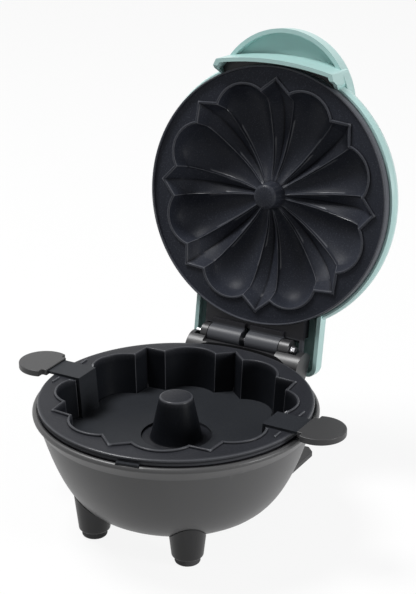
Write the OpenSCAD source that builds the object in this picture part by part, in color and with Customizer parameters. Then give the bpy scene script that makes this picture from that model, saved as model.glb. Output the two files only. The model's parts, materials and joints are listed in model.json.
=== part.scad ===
// Mini donut and ring-cake maker: a bowl-shaped base with a deep flower mould, a lifter that
// raises the cake out of it, and a domed lid whose plate moulds the petals of the cake.
// +Z is up. The origin is on the bowl's axis at floor level. The front is -Y, the hinge is at +Y.
// The lid is drawn open on its stop, and closes by turning about the hinge pin.

/* [Baking seam] */
// Height above the floor of the plane where the beads of the two plates meet
seam_z = 68; // [66:1:74]
// Radius of the round flange of the lower plate
plate_r = 68; // [67:0.5:69]
// How much smaller the upper plate is in radius
upper_plate_step = 0.4; // [0.2:0.1:1]
// Gap that the lifter's straps keep between the two beads of the closed maker
closed_gap = 1; // [0.8:0.1:1.6]
// Angle that the lid opens to
open_angle = 99.2; // [90:0.2:99.4]

/* [Petals] */
// Number of pointed petals, and of round petals between them
petal_count = 8; // [6:1:10]
// Width of the flat flange outside the tips of the pointed petals
petal_margin = 7.4; // [7:0.2:9]
// How far the cusps between the petals lie inside the tips
cusp_inset = 6.4; // [5.6:0.2:7.6]
// How far the crown of a round petal lies inside the tips
lobe_inset = 1.2; // [0.6:0.2:2.6]
// Half the angle that a pointed petal takes at its cusps
petal_half_angle = 8.45; // [7:0.1:10]
// Width of the raised bead that follows the petals
bead_w = 1.2; // [0.8:0.1:1.4]
// Height of the bead's crest above the flange
bead_h = 1.1; // [0.8:0.1:1.2]
// Depth of the flange below the seam plane
flange_drop = 1.2; // [1.2:0.1:1.6]

/* [Lower plate] */
// Thickness of the plate's flange
flange_t = 2; // [1.6:0.1:2.4]
// Thickness of the plate's skirt
skirt_wall = 1.6; // [1.2:0.1:2]
// Depth of the skirt below the seam plane
skirt_depth = 4.6; // [4.2:0.1:5]
// Depth of the mould's floor below the seam plane
mould_depth = 22.8; // [20:0.2:24]
// Thickness of the mould's wall and floor
mould_wall = 2; // [1.6:0.1:2.2]
// How far the petals draw in from the top of the mould to its floor
mould_draft = 1.4; // [0.6:0.1:1.8]
// Radius of the centre cone at its flat top
cone_top_r = 8.4; // [7:0.2:9]
// Radius of the centre cone at the mould's floor
cone_base_r = 12.9; // [11:0.2:14]
// How far the cone's top lies below the seam plane
cone_drop = 0.6; // [0.6:0.1:1.2]

/* [Upper plate] */
// Depth of the ridges between the petals
ridge_depth = 13.2; // [11:0.2:13.6]
// How much shallower the petals are where they meet at the boss
centre_rise = 4.2; // [2:0.2:6]
// Extra depth of the groove along a pointed petal
groove_depth = 1.5; // [0.6:0.1:2]
// Extra depth of the hollow of a round petal
hollow_depth = 3.2; // [1:0.1:3.4]
// Radius of the centre boss at its tip
boss_r = 6.3; // [5:0.1:7]
// Radius of the centre boss at its root
boss_root_r = 7; // [6.6:0.1:8]
// How far the boss stands out past the plane of the beads
boss_proud = 1.2; // [0.4:0.1:1.2]
// How far the outer lip stands out past the plane of the beads
lip_proud = 0.6; // [0.2:0.1:0.6]
// Height of the plate's round body above the plane of the beads
upper_body_h = 18.6; // [18.6:0.2:19.2]

/* [Bowl] */
// Radius of the flat underside of the bowl
bowl_base_r = 36.5; // [36:0.5:40]
// How far the bowl's widest part stands out past the plate's edge
bowl_overhang = 2.8; // [2.2:0.2:3.4]
// Height of the flat underside above the floor
bowl_base_z = 12.35; // [11:0.25:14]
// Depth below the seam plane of the bowl's rebate, which carries the seat ring
rebate_depth = 7.6; // [7.2:0.2:9]
// Thickness of the bowl's wall
bowl_wall = 2; // [1.8:0.1:2.2]
// Radius of the rounded rim's section
rim_r = 1.6; // [1.4:0.1:1.8]

/* [Feet] */
// Sideways distance of a foot from the middle
foot_x = 26.5; // [25:0.5:29]
// Front-to-back distance of a foot from the middle
foot_y = 34.9; // [34:0.5:37]
// Radius of a foot where it meets the bowl
foot_top_r = 9.3; // [8.6:0.1:9.6]
// Radius of a foot at its lower end
foot_low_r = 7.85; // [7:0.05:8.5]
// Radius of the rubber pad under a foot
pad_r = 6.3; // [5:0.1:6.8]
// How far the rubber pad stands out below the foot
pad_h = 3.7; // [2:0.1:5]

/* [Lifter] */
// Thickness of the lifter's sheet metal
lifter_t = 1.3; // [1:0.1:1.4]
// Width of a strap
strap_w = 15.4; // [11:0.2:15.4]
// Radius of the lifter's hole round the cone
lifter_hole_r = 17.6; // [15:0.2:22]
// Distance of a finger tab's centre beyond its straight inner edge
tab_reach = 7.4; // [5.4:0.2:10]
// Radius of a finger tab
tab_r = 13; // [12:0.25:15]
// Thickness of a finger tab
tab_t = 3.2; // [2.6:0.1:4]
// Distance of a tab's straight inner edge beyond the plate's edge
tab_edge_out = 2.6; // [2.6:0.2:5]

/* [Lid] */
// How much smaller the lid's shell is in radius than the bowl
lid_step = 0.4; // [0:0.1:0.6]
// Height of the shell's rim above the plane of the beads
lid_rim_h = 4.5; // [4.2:0.1:5]
// Height of the shell's top above the body of the upper plate
lid_headroom = 11.6; // [11.4:0.2:15]
// Thickness of the shell
lid_wall = 2.2; // [1.8:0.1:2.2]
// Half the width of the skirt that covers the hinge
skirt_x = 36.8; // [36.4:0.2:39]
// Distance of the skirt's rear wall behind the hinge pin
skirt_set_back = 13.67; // [13.5:0.1:16]
// Radius of the skirt's rear corners
skirt_corner_r = 5; // [3:0.5:7]
// Height of the skirt's lower edge above the plane of the beads
skirt_low_h = 3.5; // [3:0.1:4.4]

/* [Handle] */
// Radius of the half-moon handle
handle_r = 38.5; // [37:0.25:40]
// Distance of the half-moon's centre behind the visor's inner face
handle_set_back = 21.5; // [20:0.5:23]
// Height of the handle's lower edge above the plane of the beads
handle_low_h = 9; // [6:0.5:10]
// Height of the finger recess's ceiling above the plane of the beads
recess_top_h = 14; // [12:0.5:15]
// Distance of the visor's inner face in front of the plate's edge
visor_set_out = 1; // [0.8:0.1:2]
// Radius of the visor's curve
visor_r = 156; // [120:2:200]
// Half the length of the visor
visor_x = 33; // [30:0.5:34]
// How far the visor hangs below the plane of the beads
visor_drop = 4.2; // [3:0.1:4.6]

/* [Hinge] */
// Distance of the hinge pin behind the plate's edge
hinge_set_back = 9.33; // [9:0.1:10]
// Depth of the hinge pin below the seam plane
hinge_drop = 0.37; // [0:0.05:0.8]
// Radius of the hinge barrels
barrel_r = 5.3; // [4.8:0.1:5.4]
// Length of each of the two lid barrels
barrel_len = 19.2; // [16:0.2:20]
// Width of the slot between the two lid barrels
barrel_gap = 3.2; // [2:0.1:4]
// How far the row of barrels sits to the left, to leave the wires their way
barrel_shift = 2.7; // [0:0.1:3]
// Length of the bowl's left knuckle
left_knuckle_len = 3.8; // [3:0.1:4.2]
// Length of the bowl's right knuckle
right_knuckle_len = 5.6; // [4:0.1:6]
// Radius of the hinge pin
pin_r = 1.5; // [1.2:0.05:2]
// Half the width of the bowl's hinge tower
tower_x = 33; // [32:0.25:33.5]

/* [Rear stand] */
// Half the width of the stand behind the bowl
stand_x = 37.4; // [30:0.2:40]
// Distance of the stand's rear edge from the middle
stand_y = 82; // [76:0.5:86]
// Thickness of the stand
stand_t = 2.8; // [2.2:0.1:3.4]

/* [Heating] */
// Radius of the heating rings' centre line
element_r = 37; // [30:0.5:40]
// Radius of a heating ring's tube
element_tube_r = 2.6; // [2:0.1:2.8]
// Thickness of the heat shields
shield_t = 0.6; // [0.5:0.1:0.8]
// How far the lower heat shield's edge lies inside the plate's
lower_shield_inset = 18; // [17:0.5:22]
// Radius of the upper heat shield
upper_shield_r = 41; // [40:0.5:42]

/* [Small parts] */
// Radius of a cover screw's head
screw_head_r = 2.3; // [2:0.1:2.6]
// Radius of a screw's shank
screw_r = 1.2; // [1:0.05:1.4]
// Radius of an indicator lens
lens_r = 2.4; // [2:0.1:3]
// Radius of the hole in the cord inlet's bush
inlet_hole_r = 3.2; // [2.8:0.1:3.6]

/* [Fits] */
// Clearance between parts that move past each other
move_gap = 0.4; // [0.3:0.05:0.6]
// Clearance between parts that are seated and stay put
seat_gap = 0.2; // [0.1:0.05:0.3]
// Clearance in radius between a pin and its bore
pin_gap = 0.05; // [0.02:0.01:0.1]

/* [Hidden] */

$fn = 96;
eps = 0.01;
big = 200;

teal = "#9fdccf";
bowl_grey = "#58585b";
foot_grey = "#3f3f42";
plate_black = "#23232a";
trim_black = "#1b1b1e";
steel = "#b9bcc0";

hinge_y = plate_r + hinge_set_back;
hinge_z = seam_z - hinge_drop;
upper_r = plate_r - upper_plate_step;
bowl_top_r = plate_r + bowl_overhang;
lid_r = bowl_top_r - lid_step;
lid_top_h = upper_body_h + lid_headroom;
skirt_y = hinge_y + skirt_set_back;
visor_y = plate_r + visor_set_out;
handle_y = visor_y - handle_set_back;
tab_edge_x = plate_r + tab_edge_out;
tab_x = tab_edge_x + tab_reach;
lower_shield_r = plate_r - lower_shield_inset;
flange_z = seam_z - flange_drop;
floor_z = seam_z - mould_depth;
mould_under_z = floor_z - mould_wall;
rebate_z = seam_z - rebate_depth;
skirt_z = seam_z - skirt_depth;

// ---- Outline of the petals -------------------------------------------------------------------

petal_tip_r = plate_r - petal_margin;
petal_cusp_r = petal_tip_r - cusp_inset;
petal_lobe_r = petal_tip_r - lobe_inset;
petal_pitch = 360 / petal_count;
lobe_half_angle = petal_pitch / 2 - petal_half_angle;
lobe_steps = 8;
// A round petal is an arc through its two cusps and its crown
lobe_chord = petal_cusp_r * sin(lobe_half_angle);
lobe_rise = petal_lobe_r - petal_cusp_r * cos(lobe_half_angle);
lobe_arc_r = (lobe_chord * lobe_chord + lobe_rise * lobe_rise) / (2 * lobe_rise);
lobe_arc_d = petal_lobe_r - lobe_arc_r;

function lobe_radius(a, grow) =
    lobe_arc_d * cos(a) + sqrt(pow(lobe_arc_r + grow, 2) - pow(lobe_arc_d * sin(a), 2));

// One petal pitch: the pointed petal's tip, then the cusp and the arc of the round petal
function pitch_angles() = concat(
    [0],
    [for (i = [0:lobe_steps]) petal_half_angle + 2 * lobe_half_angle * i / lobe_steps]);

function outline_radius(a, grow) = a < eps
    ? petal_tip_r + grow * 1.4
    : lobe_radius(a - petal_pitch / 2, grow);

function outline_angles() =
    [for (k = [0:petal_count - 1]) for (a = pitch_angles()) a + k * petal_pitch];

function outline_radii(grow) =
    [for (k = [0:petal_count - 1]) for (a = pitch_angles()) outline_radius(a, grow)];

function petal_points(grow) =
    let (angles = outline_angles(), radii = outline_radii(grow))
    [for (i = [0:len(angles) - 1]) radii[i] * [cos(angles[i]), sin(angles[i])]];

module petals_2d(grow = 0) {
    polygon(petal_points(grow));
}

// ---- Bowl curve ------------------------------------------------------------------------------

bowl_shoulder_z = seam_z + 3.8;
bowl_steps = 16;
bowl_end_z = seam_z - rebate_depth;

function bowl_t(z) = (bowl_shoulder_z - z) / (bowl_shoulder_z - bowl_base_z);
function bowl_radius(z) =
    bowl_base_r + (bowl_top_r - bowl_base_r) * pow(max(0, 1 - pow(bowl_t(z), 1.05)), 0.4115);
// The levels crowd towards the underside, where the curve turns fastest
function bowl_level(i) =
    bowl_base_z + (bowl_end_z - bowl_base_z) * pow(i / bowl_steps, 1.6);

function bowl_curve(inset) =
    [for (i = [0:bowl_steps]) [bowl_radius(bowl_level(i)) - inset, bowl_level(i)]];

module bowl_solid(inset, low) {
    rotate_extrude()
    intersection() {
        polygon(concat([[0, bowl_base_z]], bowl_curve(inset), [[0, bowl_end_z]]));
        translate([0, low])
        square([big, big]);
    }
}

module ring(outer, inner, low, high) {
    translate([0, 0, low])
    difference() {
        cylinder(r = outer, h = high - low);
        translate([0, 0, -1])
        cylinder(r = inner, h = high - low + 2);
    }
}

module along_x(from, to, r) {
    translate([from, 0, 0])
    rotate([0, 90, 0])
    cylinder(r = r, h = to - from);
}

module at_hinge() {
    translate([0, hinge_y, hinge_z])
    children();
}

// Carries the lid's parts, drawn on the plane of their beads, to the open lid
module open_lid() {
    at_hinge()
    rotate([-open_angle, 0, 0])
    translate([0, -hinge_y, hinge_drop + closed_gap])
    children();
}

// ---- Hinge row -------------------------------------------------------------------------------

left_barrel_x = -barrel_shift - barrel_gap / 2 - barrel_len;
right_barrel_x = -barrel_shift + barrel_gap / 2;
shoulder_gap = 1.2;
shoulder_len = 3.2;
row_left_x = left_barrel_x - move_gap;
row_right_x = right_barrel_x + barrel_len + move_gap;
knuckle_left_x = row_left_x - left_knuckle_len;
knuckle_right_x = row_right_x + right_knuckle_len;

// ---- Bowl ------------------------------------------------------------------------------------

rim_x = bowl_top_r - rim_r - 0.3;
rim_z = rebate_z + 1.2;
rebate_r = rim_x - 0.6;
rim_low_z = rim_z - 5.6;
tower_front_r = rebate_r + 2.6;
tower_recess_r = barrel_r + 0.7;
crest_z = hinge_z - shoulder_gap;
hump_r = 9.1;
hump_y = hinge_y - 3.6;
hump_z = seam_z - 8.5;
cover_hole_r = 24;
cover_r = 30;
cover_t = 2;
cover_screw_r = 27;
stand_screw_x = 9;
stand_screw_y = 33.4;
foot_boss_top_z = bowl_base_z + 4.8;
screw_head_h = 1.6;
stop_gap = 0.3;
inlet_z = 30;
inlet_hold_r = inlet_hole_r + 1;
inlet_y = bowl_radius(inlet_z);

// Side view of the tower: a rounded hump over a web that runs down into the bowl
module tower_2d() {
    intersection() {
        translate([hump_y, hump_z])
        circle(r = hump_r);
        polygon([[hump_y - 20, hump_z - 4], [hump_y + 3.6, hump_z - 4],
                 [hinge_y + 5.2, hinge_z - 2.4], [hinge_y + 5.2, hinge_z + 8],
                 [hump_y - 20, hinge_z + 8]]);
    }
    polygon([[hump_y - 26, hump_z - 20], [hump_y - 26, hump_z],
             [hump_y - hump_r, hump_z], [hump_y, hump_z + 1],
             [hump_y + 3.6, hump_z - 4], [hump_y - 4, hump_z - 14], [hump_y - 16, hump_z - 20]]);
}

module tower() {
    rotate([90, 0, 90])
    translate([0, 0, -tower_x])
    linear_extrude(height = 2 * tower_x)
    tower_2d();
}

module base_knuckle(from, to) {
    at_hinge()
    along_x(from, to, barrel_r);
    rotate([90, 0, 90])
    translate([0, 0, from])
    linear_extrude(height = to - from)
    polygon([[hinge_y - barrel_r, hinge_z - 10], [hinge_y - barrel_r, hinge_z],
             [hinge_y + barrel_r, hinge_z], [hinge_y + 2.4, hinge_z - 9]]);
}

// Section of the bowl's rim: a flare up to a rounded edge
module rim_2d() {
    translate([rim_x, rim_z])
    circle(r = rim_r);
    polygon([[bowl_radius(rim_low_z) - bowl_wall, rim_low_z], [bowl_radius(rim_low_z), rim_low_z],
             [rim_x + rim_r - 0.1, rim_z - 0.6], [rim_x - 0.6, rim_z],
             [bowl_radius(rim_low_z) - bowl_wall, rebate_z]]);
}

// Lug that the open lid's rear wall comes to rest on
module stop_lug() {
    open_lid()
    translate([-8, skirt_y - 4, skirt_low_h - stop_gap - 6])
    cube([16, 4, 6]);
}

module base_bowl() {
    pocket_left_x = min(knuckle_left_x - 3, -panel_x - 0.6);
    pocket_right_x = max(knuckle_right_x + 3, panel_x + 0.6);
    color(bowl_grey)
    difference() {
        union() {
            bowl_solid(0, 0);
            rotate_extrude()
            rim_2d();
            difference() {
                tower();
                translate([0, 0, rim_z])
                cylinder(r = tower_front_r, h = big);
                // Pocket for the row of barrels and the ends of the pin
                at_hinge()
                along_x(pocket_left_x, pocket_right_x, tower_recess_r);
                translate([pocket_left_x, hinge_y - tower_recess_r, hinge_z])
                cube([pocket_right_x - pocket_left_x, 30, 30]);
                translate([row_left_x, hinge_y - 30, crest_z])
                cube([row_right_x - row_left_x, 30, 30]);
            }
            base_knuckle(knuckle_left_x, row_left_x);
            base_knuckle(row_right_x, knuckle_right_x);
            stop_lug();
        }
        difference() {
            bowl_solid(bowl_wall, bowl_base_z + bowl_wall);
            foot_places()
            cylinder(r = 3.4, h = foot_boss_top_z);
        }
        translate([0, 0, rebate_z])
        cylinder(r = rebate_r, h = 20);
        translate([0, 0, bowl_base_z - 1])
        cylinder(r = cover_hole_r, h = 10);
        at_hinge()
        along_x(0.5 - tower_x, pocket_right_x, pin_r + pin_gap);
        translate([0, inlet_y - 12, inlet_z])
        rotate([-90, 0, 0])
        cylinder(r = inlet_hold_r + seat_gap, h = 24);
        // Slot in the rim for the leg of the front clip
        rotate([0, 0, clip_angle])
        translate([clip_leg_r - seat_gap, -clip_len / 2 - seat_gap, rebate_z])
        cube([clip_leg_t + 2 * seat_gap, clip_len + 2 * seat_gap, 10]);
        cover_screw_places()
        translate([0, 0, bowl_base_z - 1])
        cylinder(r = screw_r + seat_gap / 2, h = 8);
        stand_screw_places()
        translate([0, 0, bowl_base_z - 1])
        cylinder(r = screw_r + seat_gap / 2, h = 8);
        foot_places() {
            cylinder(r = screw_r + seat_gap / 2, h = 30);
            translate([0, 0, foot_boss_top_z])
            cylinder(r = screw_head_r + seat_gap, h = screw_head_h + seat_gap);
        }
    }
}

module stand_screw_places() {
    for (sx = [-1, 1])
    translate([sx * stand_screw_x, stand_screw_y, 0])
    children();
}

module cover_screw_places() {
    for (i = [0:2])
    rotate([0, 0, 90 + 120 * i])
    translate([cover_screw_r, 0, 0])
    children();
}

module bottom_cover() {
    color(foot_grey)
    difference() {
        translate([0, 0, bowl_base_z - cover_t])
        cylinder(r = cover_r, h = cover_t);
        for (row = [-2:2])
        translate([abs(row) * 2 - 14, row * 7 - 1, bowl_base_z - cover_t - 1])
        cube([28 - abs(row) * 4, 2, cover_t + 2]);
        cover_screw_places() {
            translate([0, 0, bowl_base_z - cover_t - 1])
            cylinder(r = screw_r + seat_gap, h = cover_t + 2);
            translate([0, 0, bowl_base_z - cover_t - 1])
            cylinder(r = screw_head_r + seat_gap, h = 2.2);
        }
    }
}

module cover_screws() {
    color(steel)
    cover_screw_places() {
        translate([0, 0, bowl_base_z - cover_t])
        cylinder(r = screw_head_r, h = 1.2);
        translate([0, 0, bowl_base_z - cover_t + 1.2])
        cylinder(r = screw_r, h = cover_t + bowl_wall - 1);
    }
}

// ---- Feet ------------------------------------------------------------------------------------

foot_places_xy = [for (sx = [-1, 1]) for (sy = [-1, 1]) [sx * foot_x, sy * foot_y]];
foot_round = 1.2;
pad_sink = 1.6;

module foot_places() {
    for (place = foot_places_xy)
    translate([place[0], place[1], 0])
    children();
}

// Profile of a foot: a taper that ends in a rounded edge
module foot_body() {
    difference() {
        union() {
            translate([0, 0, pad_h + foot_round])
            cylinder(r1 = foot_low_r, r2 = foot_top_r + 0.6, h = 18);
            translate([0, 0, pad_h])
            cylinder(r = foot_low_r - foot_round, h = foot_round + 1);
            translate([0, 0, pad_h + foot_round])
            rotate_extrude()
            translate([foot_low_r - foot_round, 0])
            circle(r = foot_round);
        }
        translate([0, 0, -1])
        cylinder(r = pad_r + seat_gap / 2, h = pad_h + pad_sink + 1);
        translate([0, 0, -1])
        cylinder(r = screw_r + seat_gap / 2, h = 40);
    }
}

module foot(sx, sy) {
    color(foot_grey)
    difference() {
        translate([sx * foot_x, sy * foot_y, 0])
        foot_body();
        translate([0, 0, -seat_gap])
        bowl_solid(-seat_gap, 0);
    }
}

module foot_front_left() {
    foot(-1, -1);
}

module foot_front_right() {
    foot(1, -1);
}

module foot_rear_left() {
    foot(-1, 1);
}

module foot_rear_right() {
    foot(1, 1);
}

module foot_pads() {
    color(trim_black)
    foot_places() {
        cylinder(r = pad_r - 1.4, h = pad_h + pad_sink - 0.5);
        translate([0, 0, 1.4])
        cylinder(r = pad_r, h = pad_h + pad_sink - 1.4);
        translate([0, 0, 1.4])
        rotate_extrude()
        translate([pad_r - 1.4, 0])
        circle(r = 1.4);
    }
}

module foot_screws() {
    color(steel)
    foot_places() {
        translate([0, 0, pad_h + pad_sink + 0.3])
        cylinder(r = screw_r, h = foot_boss_top_z - pad_h - pad_sink - 0.3);
        translate([0, 0, foot_boss_top_z])
        cylinder(r = screw_head_r, h = screw_head_h);
    }
}

// ---- Stand and inlet at the rear ---------------------------------------------------------------

stand_corner = 4;
stand_neck_x = 15;
stand_neck_y = foot_y + foot_top_r + 2;
stand_low_z = bowl_base_z - stand_t - 0.3;

// Tongue behind the bowl that the closed maker leans on when it is stored on end
module rear_stand() {
    color(foot_grey)
    difference() {
        translate([0, 0, stand_low_z])
        linear_extrude(height = stand_t)
        difference() {
            union() {
                polygon([[-stand_x, stand_neck_y], [stand_x, stand_neck_y],
                         [stand_x, stand_y - stand_corner], [stand_x - stand_corner, stand_y],
                         [stand_corner - stand_x, stand_y], [-stand_x, stand_y - stand_corner]]);
                translate([-stand_neck_x, 20])
                square([2 * stand_neck_x, stand_neck_y - 19]);
            }
            circle(r = cover_r + seat_gap + 0.2);
        }
        stand_screw_places() {
            cylinder(r = screw_r + seat_gap / 2, h = 20);
            cylinder(r = screw_head_r + seat_gap, h = stand_low_z + 1.4);
        }
    }
}

module stand_screws() {
    color(steel)
    stand_screw_places() {
        translate([0, 0, stand_low_z])
        cylinder(r = screw_head_r, h = 1.2);
        translate([0, 0, stand_low_z + 1.2])
        cylinder(r = screw_r, h = block_z - stand_low_z - 1.5);
    }
}

module cord_inlet() {
    color(trim_black)
    translate([0, inlet_y, inlet_z])
    rotate([-90, 0, 0])
    difference() {
        union() {
            translate([0, 0, -8])
            cylinder(r = inlet_hold_r, h = 13);
            translate([0, 0, 4])
            cylinder(r = inlet_hold_r + 1.8, h = 2.4);
        }
        translate([0, 0, -9])
        cylinder(r = inlet_hole_r, h = 20);
    }
}

// ---- Lower plate -----------------------------------------------------------------------------

seat_ring_in_r = plate_r - skirt_wall - 2;
seat_shelf_z = skirt_z - seat_gap;
seat_ring_out_r = rebate_r - seat_gap;
cup_gap = 0.8;

module seat_ring() {
    color(trim_black)
    union() {
        ring(seat_ring_out_r, seat_ring_in_r, rebate_z, rebate_z + 1.2);
        ring(plate_r - 0.6, seat_ring_in_r, rebate_z, seat_shelf_z);
    }
}

strap_slot = strap_w + 2 * move_gap;

module lower_plate() {
    color(plate_black)
    difference() {
        union() {
            ring(plate_r, petal_cusp_r - 2, flange_z - flange_t, flange_z);
            ring(plate_r - 0.4, plate_r - skirt_wall, skirt_z, flange_z - 0.6);
            // The cup follows the petals and stays inside the bowl
            intersection() {
                translate([0, 0, mould_under_z])
                linear_extrude(height = flange_z - mould_under_z)
                petals_2d(mould_wall);
                rotate_extrude()
                polygon([[0, mould_under_z],
                         [bowl_radius(mould_under_z) - bowl_wall - cup_gap, mould_under_z],
                         [bowl_radius(floor_z + 6) - bowl_wall - cup_gap, floor_z + 6],
                         [seat_ring_in_r - seat_gap, rebate_z - 4],
                         [seat_ring_in_r - seat_gap, flange_z],
                         [0, flange_z]]);
            }
            translate([0, 0, flange_z - 0.5])
            linear_extrude(height = bead_h + 0.5)
            petals_2d(bead_w);
            strap_ribs();
        }
        difference() {
            // The hollow narrows towards its floor so that the cake lets go
            translate([0, 0, floor_z])
            linear_extrude(height = mould_depth, scale = petal_cusp_r / (petal_cusp_r - mould_draft))
            scale((petal_cusp_r - mould_draft) / petal_cusp_r)
            petals_2d(0);
            translate([0, 0, floor_z - 1])
            cylinder(r1 = cone_base_r + (cone_base_r - cone_top_r) / mould_depth, r2 = cone_top_r,
                     h = mould_depth - cone_drop + 1);
        }
        // The bead stops where a strap passes over the flange
        translate([-plate_r, -strap_slot / 2, flange_z])
        cube([2 * plate_r, strap_slot, 5]);
        lower_boss_places()
        translate([0, 0, mould_under_z - 1])
        cylinder(r = screw_r + seat_gap / 2, h = 2.4);
    }
}

rib_len = 6;
rib_x = plate_r - 5.6;

// Short ribs on the flange that guide the straps
module strap_ribs() {
    for (sx = [-1, 1])
    for (sy = [-1, 1])
    translate([sx * rib_x - 0.5, sy * (strap_slot / 2 + 4.6) - rib_len / 2, flange_z - 0.5])
    cube([1, rib_len, 1.3]);
}

clip_angle = -78.5;
clip_len = 11;
clip_leg_r = rebate_r + 0.5;
clip_leg_t = 0.8;
clip_bar_z = rim_z + rim_r + 0.2;

// Spring clip at the front that tucks under the edge of the flange
module plate_clip() {
    color(trim_black)
    rotate([0, 0, clip_angle])
    translate([0, -clip_len / 2, 0]) {
        translate([clip_leg_r, 0, rebate_z + 0.3])
        cube([clip_leg_t, clip_len, clip_bar_z + 0.4 - rebate_z - 0.3]);
        translate([plate_r - 0.1, 0, clip_bar_z])
        cube([clip_leg_r + clip_leg_t - plate_r + 0.3, clip_len, 0.8]);
    }
}

// ---- Heating and wiring in the base ------------------------------------------------------------

lower_ring_z = mould_under_z - element_tube_r - 0.1;
lower_shield_z = lower_ring_z - element_tube_r - 0.4 - shield_t;
boss_circle_r = 24;
terminal_r = 1.2;
terminal_len = 12;
thermostat_r = 7.5;
thermostat_h = 7;

module lower_boss_places() {
    for (i = [0:2])
    rotate([0, 0, 30 + 120 * i])
    translate([boss_circle_r, 0, 0])
    children();
}

module heating_ring(r, tube) {
    rotate([0, 0, 110])
    rotate_extrude(angle = 320)
    translate([r, 0])
    circle(r = tube);
}

module lower_element() {
    color(steel)
    translate([0, 0, lower_ring_z])
    heating_ring(element_r, element_tube_r);
    color(steel)
    for (a = [110, 70])
    rotate([0, 0, a])
    translate([element_r, 0, lower_ring_z - terminal_len])
    cylinder(r = terminal_r, h = terminal_len);
}

module lower_shield() {
    color(steel)
    difference() {
        union() {
            translate([0, 0, lower_shield_z])
            cylinder(r = lower_shield_r, h = shield_t);
            ring(lower_shield_r, lower_shield_r - shield_t, lower_shield_z,
                 lower_shield_z + element_tube_r * 2);
            // Raised pads that meet the underside of the mould
            lower_boss_places()
            translate([0, 0, lower_shield_z])
            cylinder(r = 4, h = mould_under_z - lower_shield_z);
        }
        lower_boss_places()
        translate([0, 0, lower_shield_z - 1])
        cylinder(r = screw_r + seat_gap / 2, h = 20);
        translate([0, 0, lower_shield_z - 1])
        cylinder(r = thermostat_r + 1, h = 5);
        for (a = [110, 70])
        rotate([0, 0, a])
        translate([element_r, 0, lower_shield_z - 1])
        cylinder(r = 2.4, h = 5);
    }
}

module shield_screws() {
    color(steel)
    lower_boss_places() {
        translate([0, 0, lower_shield_z - 1.4])
        cylinder(r = screw_head_r, h = 1.4);
        translate([0, 0, lower_shield_z])
        cylinder(r = screw_r, h = mould_under_z + 1 - lower_shield_z);
    }
}

module thermostat() {
    color("#d8cfc0")
    translate([0, 0, mould_under_z - thermostat_h])
    cylinder(r = thermostat_r, h = thermostat_h);
    color(steel)
    for (sx = [-1, 1])
    translate([sx * 4.4 - 0.4, -2, mould_under_z - thermostat_h - 7])
    cube([0.8, 4, 7]);
}

fuse_y = -16;

module thermal_fuse() {
    color("#e9e4da")
    translate([0, fuse_y, lower_shield_z - 2.5])
    along_x(-6, 6, 2.3);
    color(steel)
    translate([-2, fuse_y - 2.6, lower_shield_z - 0.6])
    cube([4, 5.2, 0.4]);
}

block_y = 38;
block_z = bowl_base_z + bowl_wall;

module terminal_block() {
    color("#ded8c8")
    translate([-12, 30, 0])
    difference() {
        translate([0, 0, block_z + 0.05])
        cube([24, 10, 9]);
        for (i = [0:2])
        translate([4 + 8 * i, -1, block_z + 5])
        rotate([-90, 0, 0])
        cylinder(r = wire_r + 0.1, h = 12);
    }
}

wire_r = 1;

module wire_z(x, y, low, high) {
    translate([x, y, low])
    cylinder(r = wire_r, h = high - low);
}

module wire_y(x, from, to, z) {
    translate([x, from, z])
    rotate([-90, 0, 0])
    cylinder(r = wire_r, h = to - from);
}

wire_side_x = 8;
wire_row_y = 46;
wire_bend_low_y = 20;
wire_middle_y = 12;
wire_up = 5;
wire_tip_gap = 3;

module base_wiring() {
    color("#c9c4b8")
    union() {
        for (sx = [-1, 1]) {
            wire_y(sx * wire_side_x, wire_bend_low_y, wire_row_y, block_z + wire_up);
            wire_z(sx * wire_side_x, wire_bend_low_y, block_z + wire_up, lower_shield_z - wire_tip_gap);
            translate([sx * wire_side_x, wire_bend_low_y, block_z + wire_up])
            sphere(r = wire_r);
        }
        wire_y(0, wire_middle_y, wire_row_y, block_z + wire_up);
        wire_z(0, wire_middle_y, block_z + wire_up, lower_shield_z - wire_tip_gap);
        translate([0, wire_middle_y, block_z + wire_up])
        sphere(r = wire_r);
    }
}

// ---- Hinge pin ---------------------------------------------------------------------------------

pin_end_x = knuckle_right_x + 2;
pin_cap_r = 2.9;

module hinge_pin() {
    color(steel)
    at_hinge()
    along_x(1 - tower_x, pin_end_x, pin_r);
}

// Push-on cap that keeps the pin from sliding back out
module pin_cap() {
    color(steel)
    at_hinge()
    difference() {
        union() {
            along_x(knuckle_right_x + seat_gap, knuckle_right_x + 1, pin_cap_r);
            along_x(knuckle_right_x + 1, pin_end_x + 0.6, pin_cap_r - 0.6);
        }
        along_x(knuckle_right_x - 1, pin_end_x + 0.05, pin_r + pin_gap);
    }
}

// ---- Lifter ------------------------------------------------------------------------------------

lifter_rim_gap = 0.7;
strap_low_x = petal_cusp_r * cos(petal_half_angle) - mould_draft - lifter_rim_gap;
strap_high_x = petal_cusp_r * cos(petal_half_angle) - 0.4;
lifter_top_z = floor_z + lifter_t;
strap_top_z = flange_z + lifter_t;
strap_end_x = tab_x + 2;

// Side view of the strap: up the mould's wall and out over the flange
module strap_2d() {
    polygon([[strap_low_x - 6, floor_z], [strap_low_x, floor_z],
             [strap_high_x, flange_z], [strap_end_x, flange_z],
             [strap_end_x, strap_top_z], [strap_high_x - lifter_t, strap_top_z],
             [strap_low_x - lifter_t, lifter_top_z], [strap_low_x - 6, lifter_top_z]]);
}

module strap() {
    rotate([90, 0, 0])
    translate([0, 0, -strap_w / 2])
    linear_extrude(height = strap_w)
    strap_2d();
}

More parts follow.
